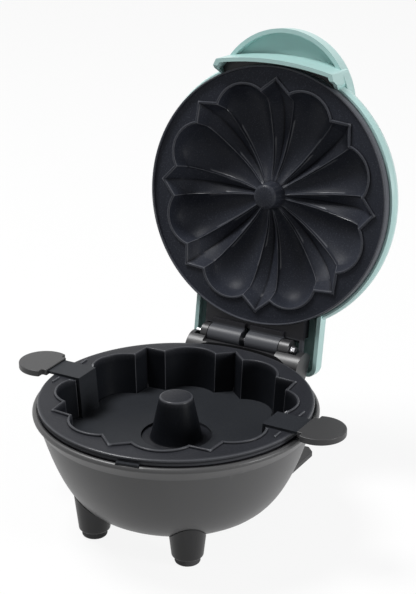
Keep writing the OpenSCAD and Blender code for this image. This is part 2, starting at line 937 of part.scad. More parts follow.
module cake_lifter() {
    color(plate_black)
    difference() {
        union() {
            translate([0, 0, floor_z])
            linear_extrude(height = lifter_t)
            scale((petal_cusp_r - mould_draft - lifter_rim_gap) / petal_cusp_r)
            petals_2d(0);
            strap();
            mirror([1, 0, 0])
            strap();
        }
        translate([0, 0, floor_z - 1])
        cylinder(r = lifter_hole_r, h = lifter_t + 2);
    }
}

tab_low_z = flange_z - (tab_t - lifter_t) / 2;
collar_w = 2.6;

// A finger tab: a round plate with a straight inner edge, a collar, and a slot for the strap
module finger_tab() {
    color(trim_black)
    difference() {
        union() {
            intersection() {
                translate([tab_x, 0, tab_low_z])
                cylinder(r = tab_r, h = tab_t);
                translate([tab_edge_x + collar_w, -big / 2, 0])
                cube([big, big, big]);
            }
            translate([tab_edge_x, 1 - tab_r + 3, tab_low_z])
            cube([collar_w + 1, 2 * (tab_r - 4), tab_t]);
        }
        translate([tab_edge_x - 1, -strap_w / 2 - seat_gap / 2, flange_z - seat_gap / 4])
        cube([strap_end_x - tab_edge_x + 1.1, strap_w + seat_gap, lifter_t + seat_gap / 2]);
    }
}

module finger_tab_right() {
    finger_tab();
}

module finger_tab_left() {
    mirror([1, 0, 0])
    finger_tab();
}

// ---- Lid shell ---------------------------------------------------------------------------------

dome_steps = 18;
dome_low_h = lid_rim_h + 3.4;
rim_step = 1.2;
dome_power = 1.7;
dome_roll = 0.25;

// Radius of the dome at a height; the side slopes in from the rim and rolls over to the top
function dome_radius(h, r, top) =
    r * pow(max(0, 1 - pow((h - dome_low_h) / (top - dome_low_h), dome_power)), dome_roll);

// Height of the shell's outside at a distance from the middle
function dome_height(d) =
    dome_low_h + (lid_top_h - dome_low_h) * pow(1 - pow(d / lid_r, 1 / dome_roll), 1 / dome_power);

function dome_level(i, top) = top - (top - dome_low_h) * pow(1 - i / dome_steps, 2);

module dome(r, top, low) {
    rotate_extrude()
    polygon(concat([[0, low], [r - rim_step, low], [r - 0.3, dome_low_h - 1.6], [r, dome_low_h]],
                   [for (i = [1:dome_steps - 1])
                    [dome_radius(dome_level(i, top), r, top), dome_level(i, top)]],
                   [[0, top]]));
}

// Plan of the skirt, with rounded rear corners
module skirt_2d(inset) {
    w = skirt_x - inset;
    d = skirt_y - inset;
    c = max(0.5, skirt_corner_r - inset);
    translate([-w, 0])
    square([2 * w, d - c]);
    translate([c - w, 0])
    square([2 * (w - c), d]);
    for (sx = [-1, 1])
    translate([sx * (w - c), d - c])
    circle(r = c);
}

skirt_side_h = 10;
skirt_roof_h = 15;
skirt_roof_y = 40;
skirt_crown_h = 21;
skirt_rear_h = 6.5;

// Side view of the skirt's roof, which falls from the dome to the rear wall
module skirt_roof_2d(inset) {
    polygon([[0, 0], [skirt_y, 0], [skirt_y, skirt_rear_h - inset],
             [skirt_y - 1.5, skirt_rear_h + 1.7 - inset], [skirt_y - 5, skirt_rear_h + 3.5 - inset],
             [skirt_y - 12, skirt_rear_h + 6 - inset], [skirt_y - 25, skirt_roof_h - inset],
             [skirt_roof_y, skirt_crown_h - inset], [0, skirt_crown_h - inset]]);
}

// Rear view of the skirt, with its upper edges rolled off
module skirt_rear_2d(inset) {
    w = skirt_x - inset;
    polygon([[-w, 0], [w, 0], [w, skirt_side_h - inset], [w - 2, skirt_side_h + 3 - inset],
             [w - 6, skirt_side_h + 5.4 - inset], [w - 14, skirt_side_h + 9 - inset],
             [14 - w, skirt_side_h + 9 - inset], [6 - w, skirt_side_h + 5.4 - inset],
             [2 - w, skirt_side_h + 3 - inset], [-w, skirt_side_h - inset]]);
}

module skirt_solid(inset, low) {
    intersection() {
        translate([0, 0, low])
        linear_extrude(height = 30)
        skirt_2d(inset);
        rotate([90, 0, 90])
        translate([0, 0, -big / 2])
        linear_extrude(height = big)
        skirt_roof_2d(inset);
        translate([0, big / 2, 0])
        rotate([90, 0, 0])
        linear_extrude(height = big)
        skirt_rear_2d(inset);
    }
}

handle_wall = 2.2;
handle_top_h = 20;

handle_edge_r = 3.5;

// Half-moon handle: a round cap whose top slopes up into the dome
module handle_solid() {
    edge_h = handle_top_h - handle_edge_r;
    translate([0, -handle_y, 0])
    rotate_extrude() {
        translate([0, handle_low_h])
        square([handle_r, edge_h - handle_low_h]);
        intersection() {
            translate([handle_r - handle_edge_r, edge_h])
            circle(r = handle_edge_r);
            translate([0, edge_h - 1])
            square([handle_r, 10]);
        }
        polygon([[0, edge_h - 1], [handle_r - handle_edge_r, edge_h - 1],
                 [handle_r - handle_edge_r, handle_top_h], [handle_r - 12, handle_top_h + 2],
                 [handle_r - 22, handle_top_h + 3.4], [handle_r - 32, handle_top_h + 4.2],
                 [0, handle_top_h + 4.4]]);
    }
}

visor_t = 2;
visor_flare = 1.6;
visor_top_h = recess_top_h + 1;

// The visor: a curved wall that thickens upwards, in front of the plates' edge
module visor() {
    intersection() {
        translate([0, visor_r - visor_y, -visor_drop])
        difference() {
            cylinder(r1 = visor_r + visor_t, r2 = visor_r + visor_t + visor_flare,
                     h = visor_top_h + visor_drop);
            translate([0, 0, -1])
            cylinder(r = visor_r, h = visor_top_h + visor_drop + 2);
        }
        translate([-visor_x, -2 * visor_y, -visor_drop - 1])
        cube([2 * visor_x, 1.5 * visor_y, visor_top_h + visor_drop + 2]);
    }
}

module frame_screw_places() {
    for (a = [0, 180, -62, -118])
    rotate([0, 0, a])
    translate([frame_ring_mid_r, 0, 0])
    children();
}

module lid_shell() {
    color(teal)
    open_lid()
    difference() {
        union() {
            difference() {
                union() {
                    dome(lid_r, lid_top_h, lid_rim_h);
                    skirt_solid(0, skirt_low_h);
                    handle_solid();
                }
                difference() {
                    dome(lid_r - lid_wall, lid_top_h - lid_wall, lid_rim_h - 2);
                    // Posts that the inner frame is screwed to
                    frame_screw_places()
                    translate([0, 0, frame_ring_low + frame_ring_t + 0.05])
                    cylinder(r = 2.6, h = 30);
                }
                translate([0, 0, lid_rim_h - 4])
                cylinder(r = lid_r - lid_wall, h = 4.6);
                skirt_solid(lid_wall, skirt_low_h - 1);
                finger_recess();
            }
            visor();
            visor_end();
            mirror([1, 0, 0])
            visor_end();
        }
        frame_screw_places()
        cylinder(r = screw_r + seat_gap / 2, h = frame_ring_low + frame_ring_t + 4);
        // The visor stays clear of the plate it hangs in front of
        translate([0, 0, -visor_drop - 1])
        cylinder(r = lid_r - lid_wall, h = visor_drop + lid_rim_h + 1.6);
        for (sx = [-1, 1])
        translate([sx * lens_x, lens_y, 0])
        cylinder(r = lens_r + seat_gap, h = 40);
    }
}

visor_end_y = visor_y - visor_x * visor_x / (2 * visor_r);
visor_end_len = 4.4;

// End of the visor: it turns in towards the lid, and its lower edge slopes back to the rim
module visor_end() {
    difference() {
        translate([visor_x, -visor_end_y, -visor_drop])
        linear_extrude(height = lid_rim_h + visor_drop + 5)
        polygon([[-2, -visor_t], [0, -visor_t], [2, visor_end_len - 1.4],
                 [0.4, visor_end_len + 2], [-1.6, visor_end_len + 2], [0, visor_end_len - 1.4],
                 [-2, 0]]);
        translate([visor_x - 5, visor_end_len - 3 - visor_end_y, -visor_drop])
        rotate([60, 0, 0])
        translate([0, 0, -10])
        cube([12, 20, 10]);
    }
}

// Half-moon hollow under the handle, between the visor and the handle's rounded wall
module finger_recess() {
    difference() {
        translate([0, -handle_y, 0])
        cylinder(r = handle_r - handle_wall, h = recess_top_h);
        translate([0, visor_r - visor_y, -1])
        cylinder(r = visor_r + visor_t, h = big);
    }
}

lens_x = 7;
lens_y = -53;

// ---- Lid frame with the hinge barrels ------------------------------------------------------------

frame_ring_w = 3.6;
frame_ring_out_r = upper_r - skirt_wall;
frame_ring_in_r = frame_ring_out_r - frame_ring_w;
frame_ring_mid_r = frame_ring_out_r - 1.9;
frame_ring_low = 5.2;
frame_ring_t = 2;
panel_low = 0.8;
panel_t = 2.4;
panel_x = 29;
panel_front_y = plate_r - 10;
panel_rear_y = hinge_y + 2.7;

module plate_screw_places() {
    for (a = [35, 145, -35, -145])
    rotate([0, 0, a])
    translate([frame_ring_mid_r, 0, 0])
    children();
}

module lid_barrel(from) {
    at_lid_hinge()
    along_x(from, from + barrel_len, barrel_r);
    // Shoulder that carries the barrel up to the panel
    translate([from, hinge_y - barrel_r - shoulder_len, -hinge_drop - closed_gap])
    cube([barrel_len, barrel_r + shoulder_len, panel_low + 1 + hinge_drop + closed_gap]);
}

module at_lid_hinge() {
    translate([0, hinge_y, -hinge_drop - closed_gap])
    children();
}

// Inner frame of the lid: a ring round the plate, and a panel that carries the hinge barrels
module lid_frame() {
    color(trim_black)
    open_lid()
    difference() {
        union() {
            ring(frame_ring_out_r, frame_ring_in_r, frame_ring_low, frame_ring_low + frame_ring_t);
            difference() {
                union() {
                    translate([-panel_x, panel_front_y, panel_low])
                    cube([2 * panel_x, panel_rear_y - panel_front_y, panel_t]);
                    translate([-panel_x, panel_front_y, panel_low])
                    cube([2 * panel_x, 13, frame_ring_low + frame_ring_t - panel_low]);
                }
                translate([0, 0, -1])
                cylinder(r = upper_r + seat_gap + 0.1, h = 1 + frame_ring_low);
                translate([0, 0, -1])
                cylinder(r = frame_ring_in_r, h = 20);
                // Slots for the bowl's knuckles, and the slot between the barrels
                at_lid_hinge() {
                    along_x(knuckle_left_x - move_gap, row_left_x + move_gap, barrel_r + 0.5);
                    along_x(row_right_x - move_gap, pin_end_x + 1, barrel_r + 0.5);
                }
                translate([left_barrel_x + barrel_len, hinge_y - barrel_r - 1, -5])
                cube([barrel_gap, 20, 20]);
            }
            lid_barrel(left_barrel_x);
            lid_barrel(right_barrel_x);
        }
        at_lid_hinge()
        along_x(-40, 40, pin_r + pin_gap);
        frame_screw_places()
        translate([0, 0, frame_ring_low - 1])
        cylinder(r = screw_r + seat_gap / 2, h = 10);
        plate_screw_places()
        translate([0, 0, frame_ring_low - 1])
        cylinder(r = screw_r + seat_gap / 2, h = 10);
    }
}

frame_head_r = 1.6;

// Screws that hold the frame to the shell's posts
module frame_screws() {
    color(steel)
    open_lid()
    frame_screw_places() {
        translate([0, 0, frame_ring_low - 1])
        cylinder(r = frame_head_r, h = 0.9);
        translate([0, 0, frame_ring_low - 0.1])
        cylinder(r = screw_r, h = frame_ring_t + 3);
    }
}

// Screws that hold the plate's bosses to the frame
module plate_screws() {
    color(steel)
    open_lid()
    plate_screw_places() {
        translate([0, 0, frame_ring_low + frame_ring_t])
        cylinder(r = frame_head_r, h = 1);
        translate([0, 0, flange_drop + flange_t + 0.4])
        cylinder(r = screw_r, h = frame_ring_low + frame_ring_t - flange_drop - flange_t - 0.4);
    }
}

// ---- Upper plate -------------------------------------------------------------------------------

recess_hub_r = boss_root_r - 1;
recess_marks = [1, 0.985, 0.95, 0.88, 0.78, 0.65, 0.5, 0.35, 0.2, 0.1, 0];

// Depth of the ridges, from 0 at the petals' edge in to the boss
function ridge_curve(u) =
    ridge_depth * sqrt(max(0, 1 - pow(u, 5))) - centre_rise * pow(max(0, 1 - u / 0.4), 2);

// Extra depth between two ridges: a vee in a pointed petal, a smooth trough in a round one
function petal_extra(a, u) = let (swell = 4 * u * (1 - u))
    a < eps ? groove_depth * swell
    : let (s = (a - petal_pitch / 2) / lobe_half_angle) hollow_depth * swell * (1 - s * s);

function recess_ring(u, angles, radii) =
    [for (i = [0:len(angles) - 1])
        let (r = recess_hub_r + (radii[i] - recess_hub_r) * u,
             a = angles[i] - floor(angles[i] / petal_pitch + eps / 2) * petal_pitch)
        [r * cos(angles[i]), r * sin(angles[i]), ridge_curve(u) + petal_extra(a, u)]];

// Solid shape of one half of the cake: the petals swell from their edge and meet at the boss
module petal_hollow() {
    angles = outline_angles();
    radii = outline_radii(0);
    n = len(angles);
    rows = len(recess_marks);
    base = [for (i = [0:n - 1]) [radii[i] * cos(angles[i]), radii[i] * sin(angles[i]), -3]];
    rings = [for (u = recess_marks) for (p = recess_ring(u, angles, radii)) p];
    sides = [for (j = [0:rows - 1]) for (i = [0:n - 1])
        let (a = j * n + i, b = j * n + (i + 1) % n, c = a + n, d = b + n)
        for (f = [[a, b, d], [a, d, c]]) f];
    polyhedron(
        points = concat(base, rings),
        faces = concat([[for (i = [0:n - 1]) i]], sides,
                       [[for (i = [0:n - 1]) rows * n + n - 1 - i]]));
}

// Rounded shoulder of the plate's body: distance in from the petals' tips, and below its top
body_shoulder = [[-0.8, 11.6], [3, 6.6], [9.6, 2.8], [18.6, 0.6], [26.6, 0]];
body_foot_out = 1.9;

module upper_plate() {
    color(plate_black)
    open_lid()
    union() {
        difference() {
            union() {
                rotate_extrude()
                polygon(concat(
                    [[0, flange_drop], [upper_r - 1, flange_drop],
                     [upper_r - 1, -lip_proud], [upper_r, -lip_proud],
                     [upper_r, frame_ring_low - seat_gap],
                     [upper_r - skirt_wall, frame_ring_low - seat_gap],
                     [upper_r - skirt_wall, flange_drop + flange_t],
                     [petal_tip_r + body_foot_out, flange_drop + flange_t]],
                    [for (p = body_shoulder) [petal_tip_r - p[0], upper_body_h - p[1]]],
                    [[0, upper_body_h]]));
                translate([0, 0, flange_drop - bead_h])
                linear_extrude(height = bead_h + 1)
                petals_2d(bead_w);
                plate_screw_places()
                translate([0, 0, flange_drop + 0.5])
                cylinder(r = 2.4, h = frame_ring_low - seat_gap - flange_drop - 0.5);
            }
            petal_hollow();
            plate_screw_places()
            translate([0, 0, flange_drop + flange_t])
            cylinder(r = screw_r + 0.1, h = 10);
        }
        translate([0, 0, -boss_proud])
        cylinder(r1 = boss_r, r2 = boss_root_r, h = ridge_depth - centre_rise + boss_proud + 2);
    }
}

// ---- Heating, lamps and wiring in the lid --------------------------------------------------------

upper_ring_r = element_r - 5;
upper_ring_h = upper_body_h + element_tube_r + 0.1;
upper_shield_h = upper_ring_h + element_tube_r + 0.3;
upper_boss_ring_r = 16;

module upper_boss_places() {
    for (i = [0:2])
    rotate([0, 0, 30 + 120 * i])
    translate([upper_boss_ring_r, 0, 0])
    children();
}

module upper_element() {
    color(steel)
    open_lid()
    translate([0, 0, upper_ring_h])
    heating_ring(upper_ring_r, element_tube_r);
}

module upper_shield() {
    color(steel)
    open_lid()
    difference() {
        union() {
            translate([0, 0, upper_shield_h])
            cylinder(r = upper_shield_r, h = shield_t);
            upper_boss_places()
            translate([0, 0, upper_body_h])
            cylinder(r = 3.4, h = upper_shield_h - upper_body_h + shield_t);
        }
        upper_boss_places()
        translate([0, 0, upper_body_h - 1])
        cylinder(r = screw_r + seat_gap / 2, h = 20);
    }
}

module upper_shield_screws() {
    color(steel)
    open_lid()
    upper_boss_places() {
        translate([0, 0, upper_shield_h + shield_t])
        cylinder(r = screw_head_r, h = 1);
        translate([0, 0, upper_body_h])
        cylinder(r = screw_r, h = upper_shield_h + shield_t - upper_body_h);
    }
}

lens_top_h = dome_height(norm([lens_x, lens_y])) + 0.4;

module lens_places() {
    for (sx = [-1, 1])
    translate([sx * lens_x, lens_y, 0])
    children();
}

module indicator_lenses() {
    color("#d9534a")
    open_lid()
    lens_places()
    translate([0, 0, lens_top_h - 4])
    cylinder(r = lens_r, h = 4);
}

module lamp_board() {
    color("#3e6b4a")
    open_lid()
    translate([-12, lens_y - 4, lens_top_h - 7.6])
    cube([24, 8, 1.2]);
}

module lamps() {
    color("#e8e2c8")
    open_lid()
    lens_places()
    translate([0, 0, lens_top_h - 6.4])
    cylinder(r = 1.5, h = 2.2);
}

wire_x = upper_ring_r * cos(70);
wire_bend_y = panel_front_y - 6.4;
wire_low_h = panel_low + 16.2;

module lid_wiring() {
    color("#c9c4b8")
    open_lid()
    for (sx = [-1, 1])
    translate([sx * wire_x, 0, 0]) {
        wire_y(0, upper_ring_r * sin(110) + element_tube_r + 2, wire_bend_y, upper_ring_h);
        wire_z(0, wire_bend_y, wire_low_h, upper_ring_h);
        translate([0, wire_bend_y, upper_ring_h])
        sphere(r = wire_r);
    }
}

base_bowl();
bottom_cover();
foot_front_left();
foot_front_right();
foot_rear_left();
foot_rear_right();
foot_pads();
foot_screws();
cover_screws();
rear_stand();
stand_screws();
cord_inlet();
seat_ring();
lower_plate();
plate_clip();
lower_element();
lower_shield();
shield_screws();
thermostat();
thermal_fuse();
terminal_block();
base_wiring();
hinge_pin();
pin_cap();
cake_lifter();
finger_tab_left();
finger_tab_right();
lid_shell();
lid_frame();
upper_plate();
upper_element();
upper_shield();
upper_shield_screws();
indicator_lenses();
lamp_board();
lamps();
lid_wiring();
frame_screws();
plate_screws();
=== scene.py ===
# %% [markdown]
# A ring-cake maker, stored open. The rigid solids come packed from the construction file and are the frame of
# the scene: nothing is fitted by eye. This cell loads them and reads a part's box from its vertices.

# %% Load the frame
import json
import math
import bpy
from mathutils import Matrix, Vector


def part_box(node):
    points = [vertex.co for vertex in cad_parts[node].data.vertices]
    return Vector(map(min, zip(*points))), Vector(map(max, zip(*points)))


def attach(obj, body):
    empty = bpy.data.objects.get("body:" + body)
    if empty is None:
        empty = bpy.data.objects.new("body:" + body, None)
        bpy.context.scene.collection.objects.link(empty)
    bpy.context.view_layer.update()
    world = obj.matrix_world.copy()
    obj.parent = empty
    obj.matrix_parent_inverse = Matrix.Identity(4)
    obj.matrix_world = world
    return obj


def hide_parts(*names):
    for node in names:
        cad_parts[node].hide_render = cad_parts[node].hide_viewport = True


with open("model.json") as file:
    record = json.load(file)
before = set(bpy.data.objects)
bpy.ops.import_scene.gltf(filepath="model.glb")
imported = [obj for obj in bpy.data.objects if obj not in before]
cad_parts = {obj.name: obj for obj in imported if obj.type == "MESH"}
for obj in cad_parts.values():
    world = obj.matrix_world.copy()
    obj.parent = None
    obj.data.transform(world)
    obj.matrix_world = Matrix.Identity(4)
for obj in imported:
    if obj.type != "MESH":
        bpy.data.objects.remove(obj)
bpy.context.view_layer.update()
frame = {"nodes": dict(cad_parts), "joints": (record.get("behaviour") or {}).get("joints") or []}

nodes = frame["nodes"]

# %% [markdown]
# New pieces are drawn in millimetres, as on a workshop drawing, while the frame is in metres. What finishes
# and pieces share is read from the frame, so that it follows the solids: the round plate's radius and
# heights, the pin that the lid turns on and the angle that it stands open by. The two plates part at the
# seam. The lower plate's bead ends 0.1 mm under it and its flange lies 1.2 mm under it, and the mould's floor
# is 2 mm thick.

# %% Main sizes
MM = 0.001


def in_mm(length):
    """A length of the frame in millimetres, to a hundredth."""
    return round(length / MM, 2)


lid_hinge = next(joint for joint in frame["joints"] if joint["name"] == "lid_hinge")
hinge_y, hinge_z = (in_mm(place) for place in lid_hinge["pos_m"][1:])
open_angle = math.radians(lid_hinge["range_deg"][1])
plate_low, plate_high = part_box("lower_plate")
plate_r = in_mm(plate_high[0])
seam = in_mm(plate_high[2]) + 0.1
flange_top = seam - 1.2
under = in_mm(plate_low[2])
floor = under + 2.0
print("plate radius", plate_r, "seam", seam, "floor", floor, "pin", hinge_y, hinge_z)

# %% [markdown]
# The camera stands in front, about 29 degrees round to the right, and looks down by about 22 degrees through
# a longish lens, so that it sees into both plates. A camera can be aimed with a tracking constraint, but
# three axes and a place written as one matrix leave nothing to chance.

# %% Camera
camera_place = Vector((0.39137, -0.66375, 0.42733))
camera_right = Vector((0.87094, 0.49138, 0.00251))
camera_up = Vector((-0.18431, 0.32192, 0.92865))
camera_back = camera_right.cross(camera_up)
camera_data = bpy.data.cameras.new("camera")
camera_data.lens = 104.94
camera_data.sensor_width = 36
camera = bpy.data.objects.new("camera", camera_data)
bpy.context.scene.collection.objects.link(camera)
camera.matrix_world = Matrix.Translation(camera_place) @ Matrix(
    (camera_right, camera_up, camera_back)).transposed().to_4x4()
bpy.context.scene.camera = camera
print("camera:", round(camera_data.lens, 1), "mm, distance", round(camera_place.length, 2), "m")

# %% [markdown]
# Shader maths reads badly as boxes and wires. This small class wraps a socket, so that `1 - mask * 0.4` adds
# the two Math nodes by itself. Plain numbers stay plain Python, and colours go through Mix nodes, because a
# Math node would turn them grey.

# %% A socket that can be calculated with
class Socket:
    def __init__(self, wires, socket):
        self.wires, self.socket = wires, socket

    def _math(self, operation, a, b):
        return self.wires.node("ShaderNodeMath", {"operation": operation}, {0: a, 1: b})

    def __add__(self, other):
        return self._math("ADD", self, other)

    def __sub__(self, other):
        return self._math("SUBTRACT", self, other)

    def __mul__(self, other):
        return self._math("MULTIPLY", self, other)

    def __truediv__(self, other):
        return self._math("DIVIDE", self, other)

    def __pow__(self, other):
        return self._math("POWER", self, other)

    def __radd__(self, other):
        return self._math("ADD", other, self)

    def __rsub__(self, other):
        return self._math("SUBTRACT", other, self)

    def __rmul__(self, other):
        return self._math("MULTIPLY", other, self)

    def __rtruediv__(self, other):
        return self._math("DIVIDE", other, self)


print("sockets can be added, multiplied and so on")

# %% [markdown]
# Any other node comes from one method, which takes its type, its settings and the values or links of its
# sockets. A finish is one material: a Principled shader, Blender's shader for everything from plastic to
# metal, and what varies over the surface and feeds it. Patterns are laid on the object's coordinates and not
# on the world's, so they stay with a piece when the lid or the lifter moves.

# %% Nodes and finishes
class Wires:
    """The nodes of one material or of the sky."""

    def __init__(self, tree):
        self.tree = tree

    def node(self, kind, settings=None, inputs=None, output=0):
        """Adds a node and returns one of its outputs, which goes by its number or its name."""
        made = self.tree.nodes.new(kind)
        for key, value in (settings or {}).items():
            if key == "stops":
                ramp = made.color_ramp
                while len(ramp.elements) < len(value):
                    ramp.elements.new(0.5)
                for element, (place, shade) in zip(ramp.elements, value):
                    element.position, element.color = place, (shade, shade, shade, 1)
            else:
                setattr(made, key, value)
        for key, value in (inputs or {}).items():
            if isinstance(value, Socket):
                self.tree.links.new(value.socket, made.inputs[key])
            else:
                made.inputs[key].default_value = value
        return Socket(self, made.outputs[output])


class Finish(Wires):
    """One material: a Principled shader, and the nodes that feed it."""

    def __init__(self, name, roughness=0.5, metallic=0.0, **constants):
        self.material = bpy.data.materials.new(name)
        self.material.use_nodes = True
        super().__init__(self.material.node_tree)
        self.shader = self.tree.nodes["Principled BSDF"]
        self.shader.inputs["Roughness"].default_value = roughness
        self.shader.inputs["Metallic"].default_value = metallic
        for socket, value in constants.items():
            self.shader.inputs[socket.replace("_", " ")].default_value = value

    def feed(self, **links):
        for socket, value in links.items():
            self.tree.links.new(value.socket, self.shader.inputs[socket.replace("_", " ")])

    def place(self, stretch=(1.0, 1.0, 1.0)):
        """Object coordinates, in metres on every piece, because all finished pieces sit at the origin."""
        coordinates = self.node("ShaderNodeTexCoord", output="Object")
        return self.node("ShaderNodeMapping", {}, {"Vector": coordinates, "Scale": stretch})

    def axis(self, name):
        """The X, Y or Z of the place, in metres."""
        return self.node("ShaderNodeSeparateXYZ", {}, {"Vector": self.place()}, output=name)

    def mark(self, name):
        """What mark_edges stores on the mesh under this name, from 0 to 1."""
        return self.node("ShaderNodeAttribute", {"attribute_name": name}, output="Fac")

    def noise(self, scale, detail=2.0, roughness=0.5, stretch=(1.0, 1.0, 1.0)):
        return self.node("ShaderNodeTexNoise", {}, {"Vector": self.place(stretch), "Scale": scale,
                                                    "Detail": detail, "Roughness": roughness})

    def ramp(self, value, *stops):
        return self.node("ShaderNodeValToRGB", {"stops": stops}, {"Fac": value})

    def rising(self, length, low, high):
        """0 up to low, 1 from high on and even between them, for a length in metres and limits in mm."""
        return self.ramp((length - low * MM) / ((high - low) * MM), (0.0, 0.0), (1.0, 1.0))

    def blend(self, factor, a, b):
        """From colour a to colour b as factor goes from 0 to 1. A Mix node's colour sockets go by number,
        because its other sockets have the same names."""
        return self.node("ShaderNodeMix", {"data_type": "RGBA"}, {0: factor, 6: a, 7: b}, output=2)

    def bump(self, height, distance, strength):
        return self.node("ShaderNodeBump", {}, {"Height": height, "Distance": distance, "Strength": strength})


def rgb(r, g, b):
    return (r, g, b, 1.0)


print("node and finish helpers ready")

# %% [markdown]
# Both plates and the sheet-metal lifter carry the same black non-stick coat. It is sprayed on and baked,
# which leaves a fine orange-peel grain of a few tenths of a millimetre and a slightly uneven, silky gloss.
# The coat bends light less than other plastics, so its index is low and the black stays deep. Three noises do
# it: a fine one for the grain, a thresholded one for specks and a wide one for the uneven gloss. Edges get a
# painted highlight, and creases and mould walls painted shade, which the material reads from two attributes
# of the mesh and from the height.

# %% Non-stick coat
# Colours for a painted highlight on edges, and for painted shade on the mould's walls and in creases.
edge_highlight_colour = rgb(0.170, 0.176, 0.195)
wall_shade_colour = rgb(0.005, 0.006, 0.008)
crease_shade_colour = rgb(0.004, 0.004, 0.005)


def coat(name, dark, light, gloss, grain, walls=None):
    """walls gives the lowest and highest place, in metres, of walls that are painted darker as shade."""
    finish = Finish(name, IOR=1.36, Specular_IOR_Level=0.15, Coat_Roughness=0.2)
    wide = finish.noise(26.0, 3.0)
    fine = finish.noise(2600.0, 2.0, 0.6)
    speck = finish.ramp(finish.noise(1500.0, 1.0), (0.56, 0.0), (0.74, 1.0))
    body = finish.blend(speck * 0.5 + wide * 0.4, rgb(*dark), rgb(*light))
    if walls:
        low, high = walls
        # Painted shade: the walls are painted darker from the flange most of the way down to the floor.
        sunk = (high - finish.axis("Z")) / (high - low)
        wall_shade = finish.ramp(sunk, (0.0, 0.0), (0.12, 1.0), (0.95, 1.0), (1.0, 0.3))
        body = finish.blend(wall_shade * 0.85, body, wall_shade_colour)
    # Painted shade: creases are painted darker.
    body = finish.blend(finish.mark("crease") * 0.85, body, crease_shade_colour)
    # Painted highlight: outward edges are painted lighter, with a little more gloss there.
    worn = finish.mark("worn")
    finish.feed(Base_Color=finish.blend(worn * 0.8, body, edge_highlight_colour),
                Roughness=gloss + wide * 0.14 + speck * 0.06,
                Coat_Weight=worn * 0.6,
                Normal=finish.bump(fine + speck * 0.5, 0.06 * MM, grain))
    return finish.material


plate_coat = coat("plate_coat", (0.017, 0.019, 0.027), (0.064, 0.070, 0.087), 0.30, 1.2)
# The mould's walls, from the floor up to the flange, get painted shade.
mould_coat = coat("mould_coat", (0.017, 0.018, 0.022), (0.045, 0.047, 0.055), 0.32, 0.8,
                  walls=(floor * MM, flange_top * MM))
sheet_coat = coat("sheet_coat", (0.021, 0.023, 0.027), (0.042, 0.045, 0.051), 0.34, 0.6)
print("coats:", plate_coat.name, mould_coat.name, sheet_coat.name)

# %% [markdown]
# The mouldings are plain plastic. A mould that was etched to hide sink marks leaves a very fine grain, and
# handling polishes it a little. The bowl and the finger tabs are dark grey, the feet and the hinge parts
# nearly black, and the lid a pale teal with more gloss. One function with different values makes all of them.
# It can shade off to a second colour where a mask says so: the bowl's hinge tower is painted darker as
# painted shade, and the hinge's barrels are rubbed to a grey.

# %% Moulded plastics
def moulded(name, colour, lighter, gloss, grain, grain_scale=1900.0, coat_weight=0.0, shine=0.35,
            mask=None, masked=None):
    finish = Finish(name, Coat_Roughness=0.25, Coat_Weight=coat_weight, Specular_IOR_Level=shine)
    wide = finish.noise(14.0, 4.0)
    cloud = finish.noise(60.0, 3.0)
    fine = finish.noise(grain_scale, 2.0, 0.6)
    body = finish.blend(wide * 0.7 + cloud * 0.3, rgb(*colour), rgb(*lighter))
    if mask:
        body = finish.blend(mask(finish) * (0.85 + 0.15 * cloud), body, rgb(*masked))
    finish.feed(Base_Color=body,
                Roughness=gloss + (cloud - 0.5) * 0.10 + (fine - 0.5) * 0.06,
                Normal=finish.bump(fine, 0.05 * MM, grain))
    return finish.material


def tower_shade_mask(finish):
    """1 on the bowl's hinge tower, which stands at the rear and rises above the rim, where shade is painted
    on.
    """
    return finish.rising(finish.axis("Y"), 61.0, 64.0) * finish.rising(finish.axis("Z"), 52.0, 57.0)


def barrel_mask(finish):
    """1 within a barrel's radius of the hinge pin."""
    back = finish.axis("Y") - hinge_y * MM
    up = finish.axis("Z") - hinge_z * MM
    return 1 - finish.rising((back * back + up * up) ** 0.5, 5.8, 6.6)


# The hinge tower gets a darker colour here as painted shade.
bowl_plastic = moulded("bowl_plastic", (0.050, 0.050, 0.051), (0.062, 0.062, 0.064), 0.38, 0.35, shine=0.5,
                       mask=tower_shade_mask, masked=(0.016, 0.016, 0.018))
dark_plastic = moulded("dark_plastic", (0.013, 0.013, 0.014), (0.019, 0.019, 0.020), 0.40, 0.35)
grip_plastic = moulded("grip_plastic", (0.040, 0.040, 0.041), (0.050, 0.050, 0.051), 0.40, 0.5)
black_plastic = moulded("black_plastic", (0.009, 0.009, 0.012), (0.015, 0.015, 0.018), 0.38, 0.5)
hinge_plastic = moulded("hinge_plastic", (0.009, 0.009, 0.012), (0.015, 0.015, 0.018), 0.42, 0.8,
                        mask=barrel_mask, masked=(0.060, 0.063, 0.072))
teal_plastic = moulded("teal_plastic", (0.42, 0.63, 0.61), (0.44, 0.65, 0.63), 0.34, 0.10,
                       grain_scale=900.0, coat_weight=0.15, shine=0.5)
rubber = moulded("foot_rubber", (0.045, 0.045, 0.046), (0.060, 0.060, 0.062), 0.68, 0.8)
print("plastics made")

# %% [markdown]
# Metals and small things inside: turned steel for pins and screws, the brown-grey skin of a heating tube that
# has been hot, bare aluminium-coated shields, ceramic, glass-fibre sleeves on the wires, and the lamps. They
# are hardly seen in use, so two functions are enough: one for metal, whose grain can be drawn out into lines,
# and one for the rest, which can be banded like a braid.

# %% Metals and the rest
def metal(name, colour, stain, gloss, streak=1.0):
    """A streak under 1 draws the grain out into lines that run from front to back."""
    finish = Finish(name, metallic=1.0)
    lines = finish.noise(900.0, 3.0, stretch=(1.0, streak, 1.0))
    patch = finish.noise(80.0, 4.0)
    finish.feed(Base_Color=finish.blend(patch, rgb(*colour), rgb(*stain)),
                Roughness=gloss + lines * 0.12 + patch * 0.08,
                Normal=finish.bump(lines, 0.04 * MM, 0.3))
    return finish.material


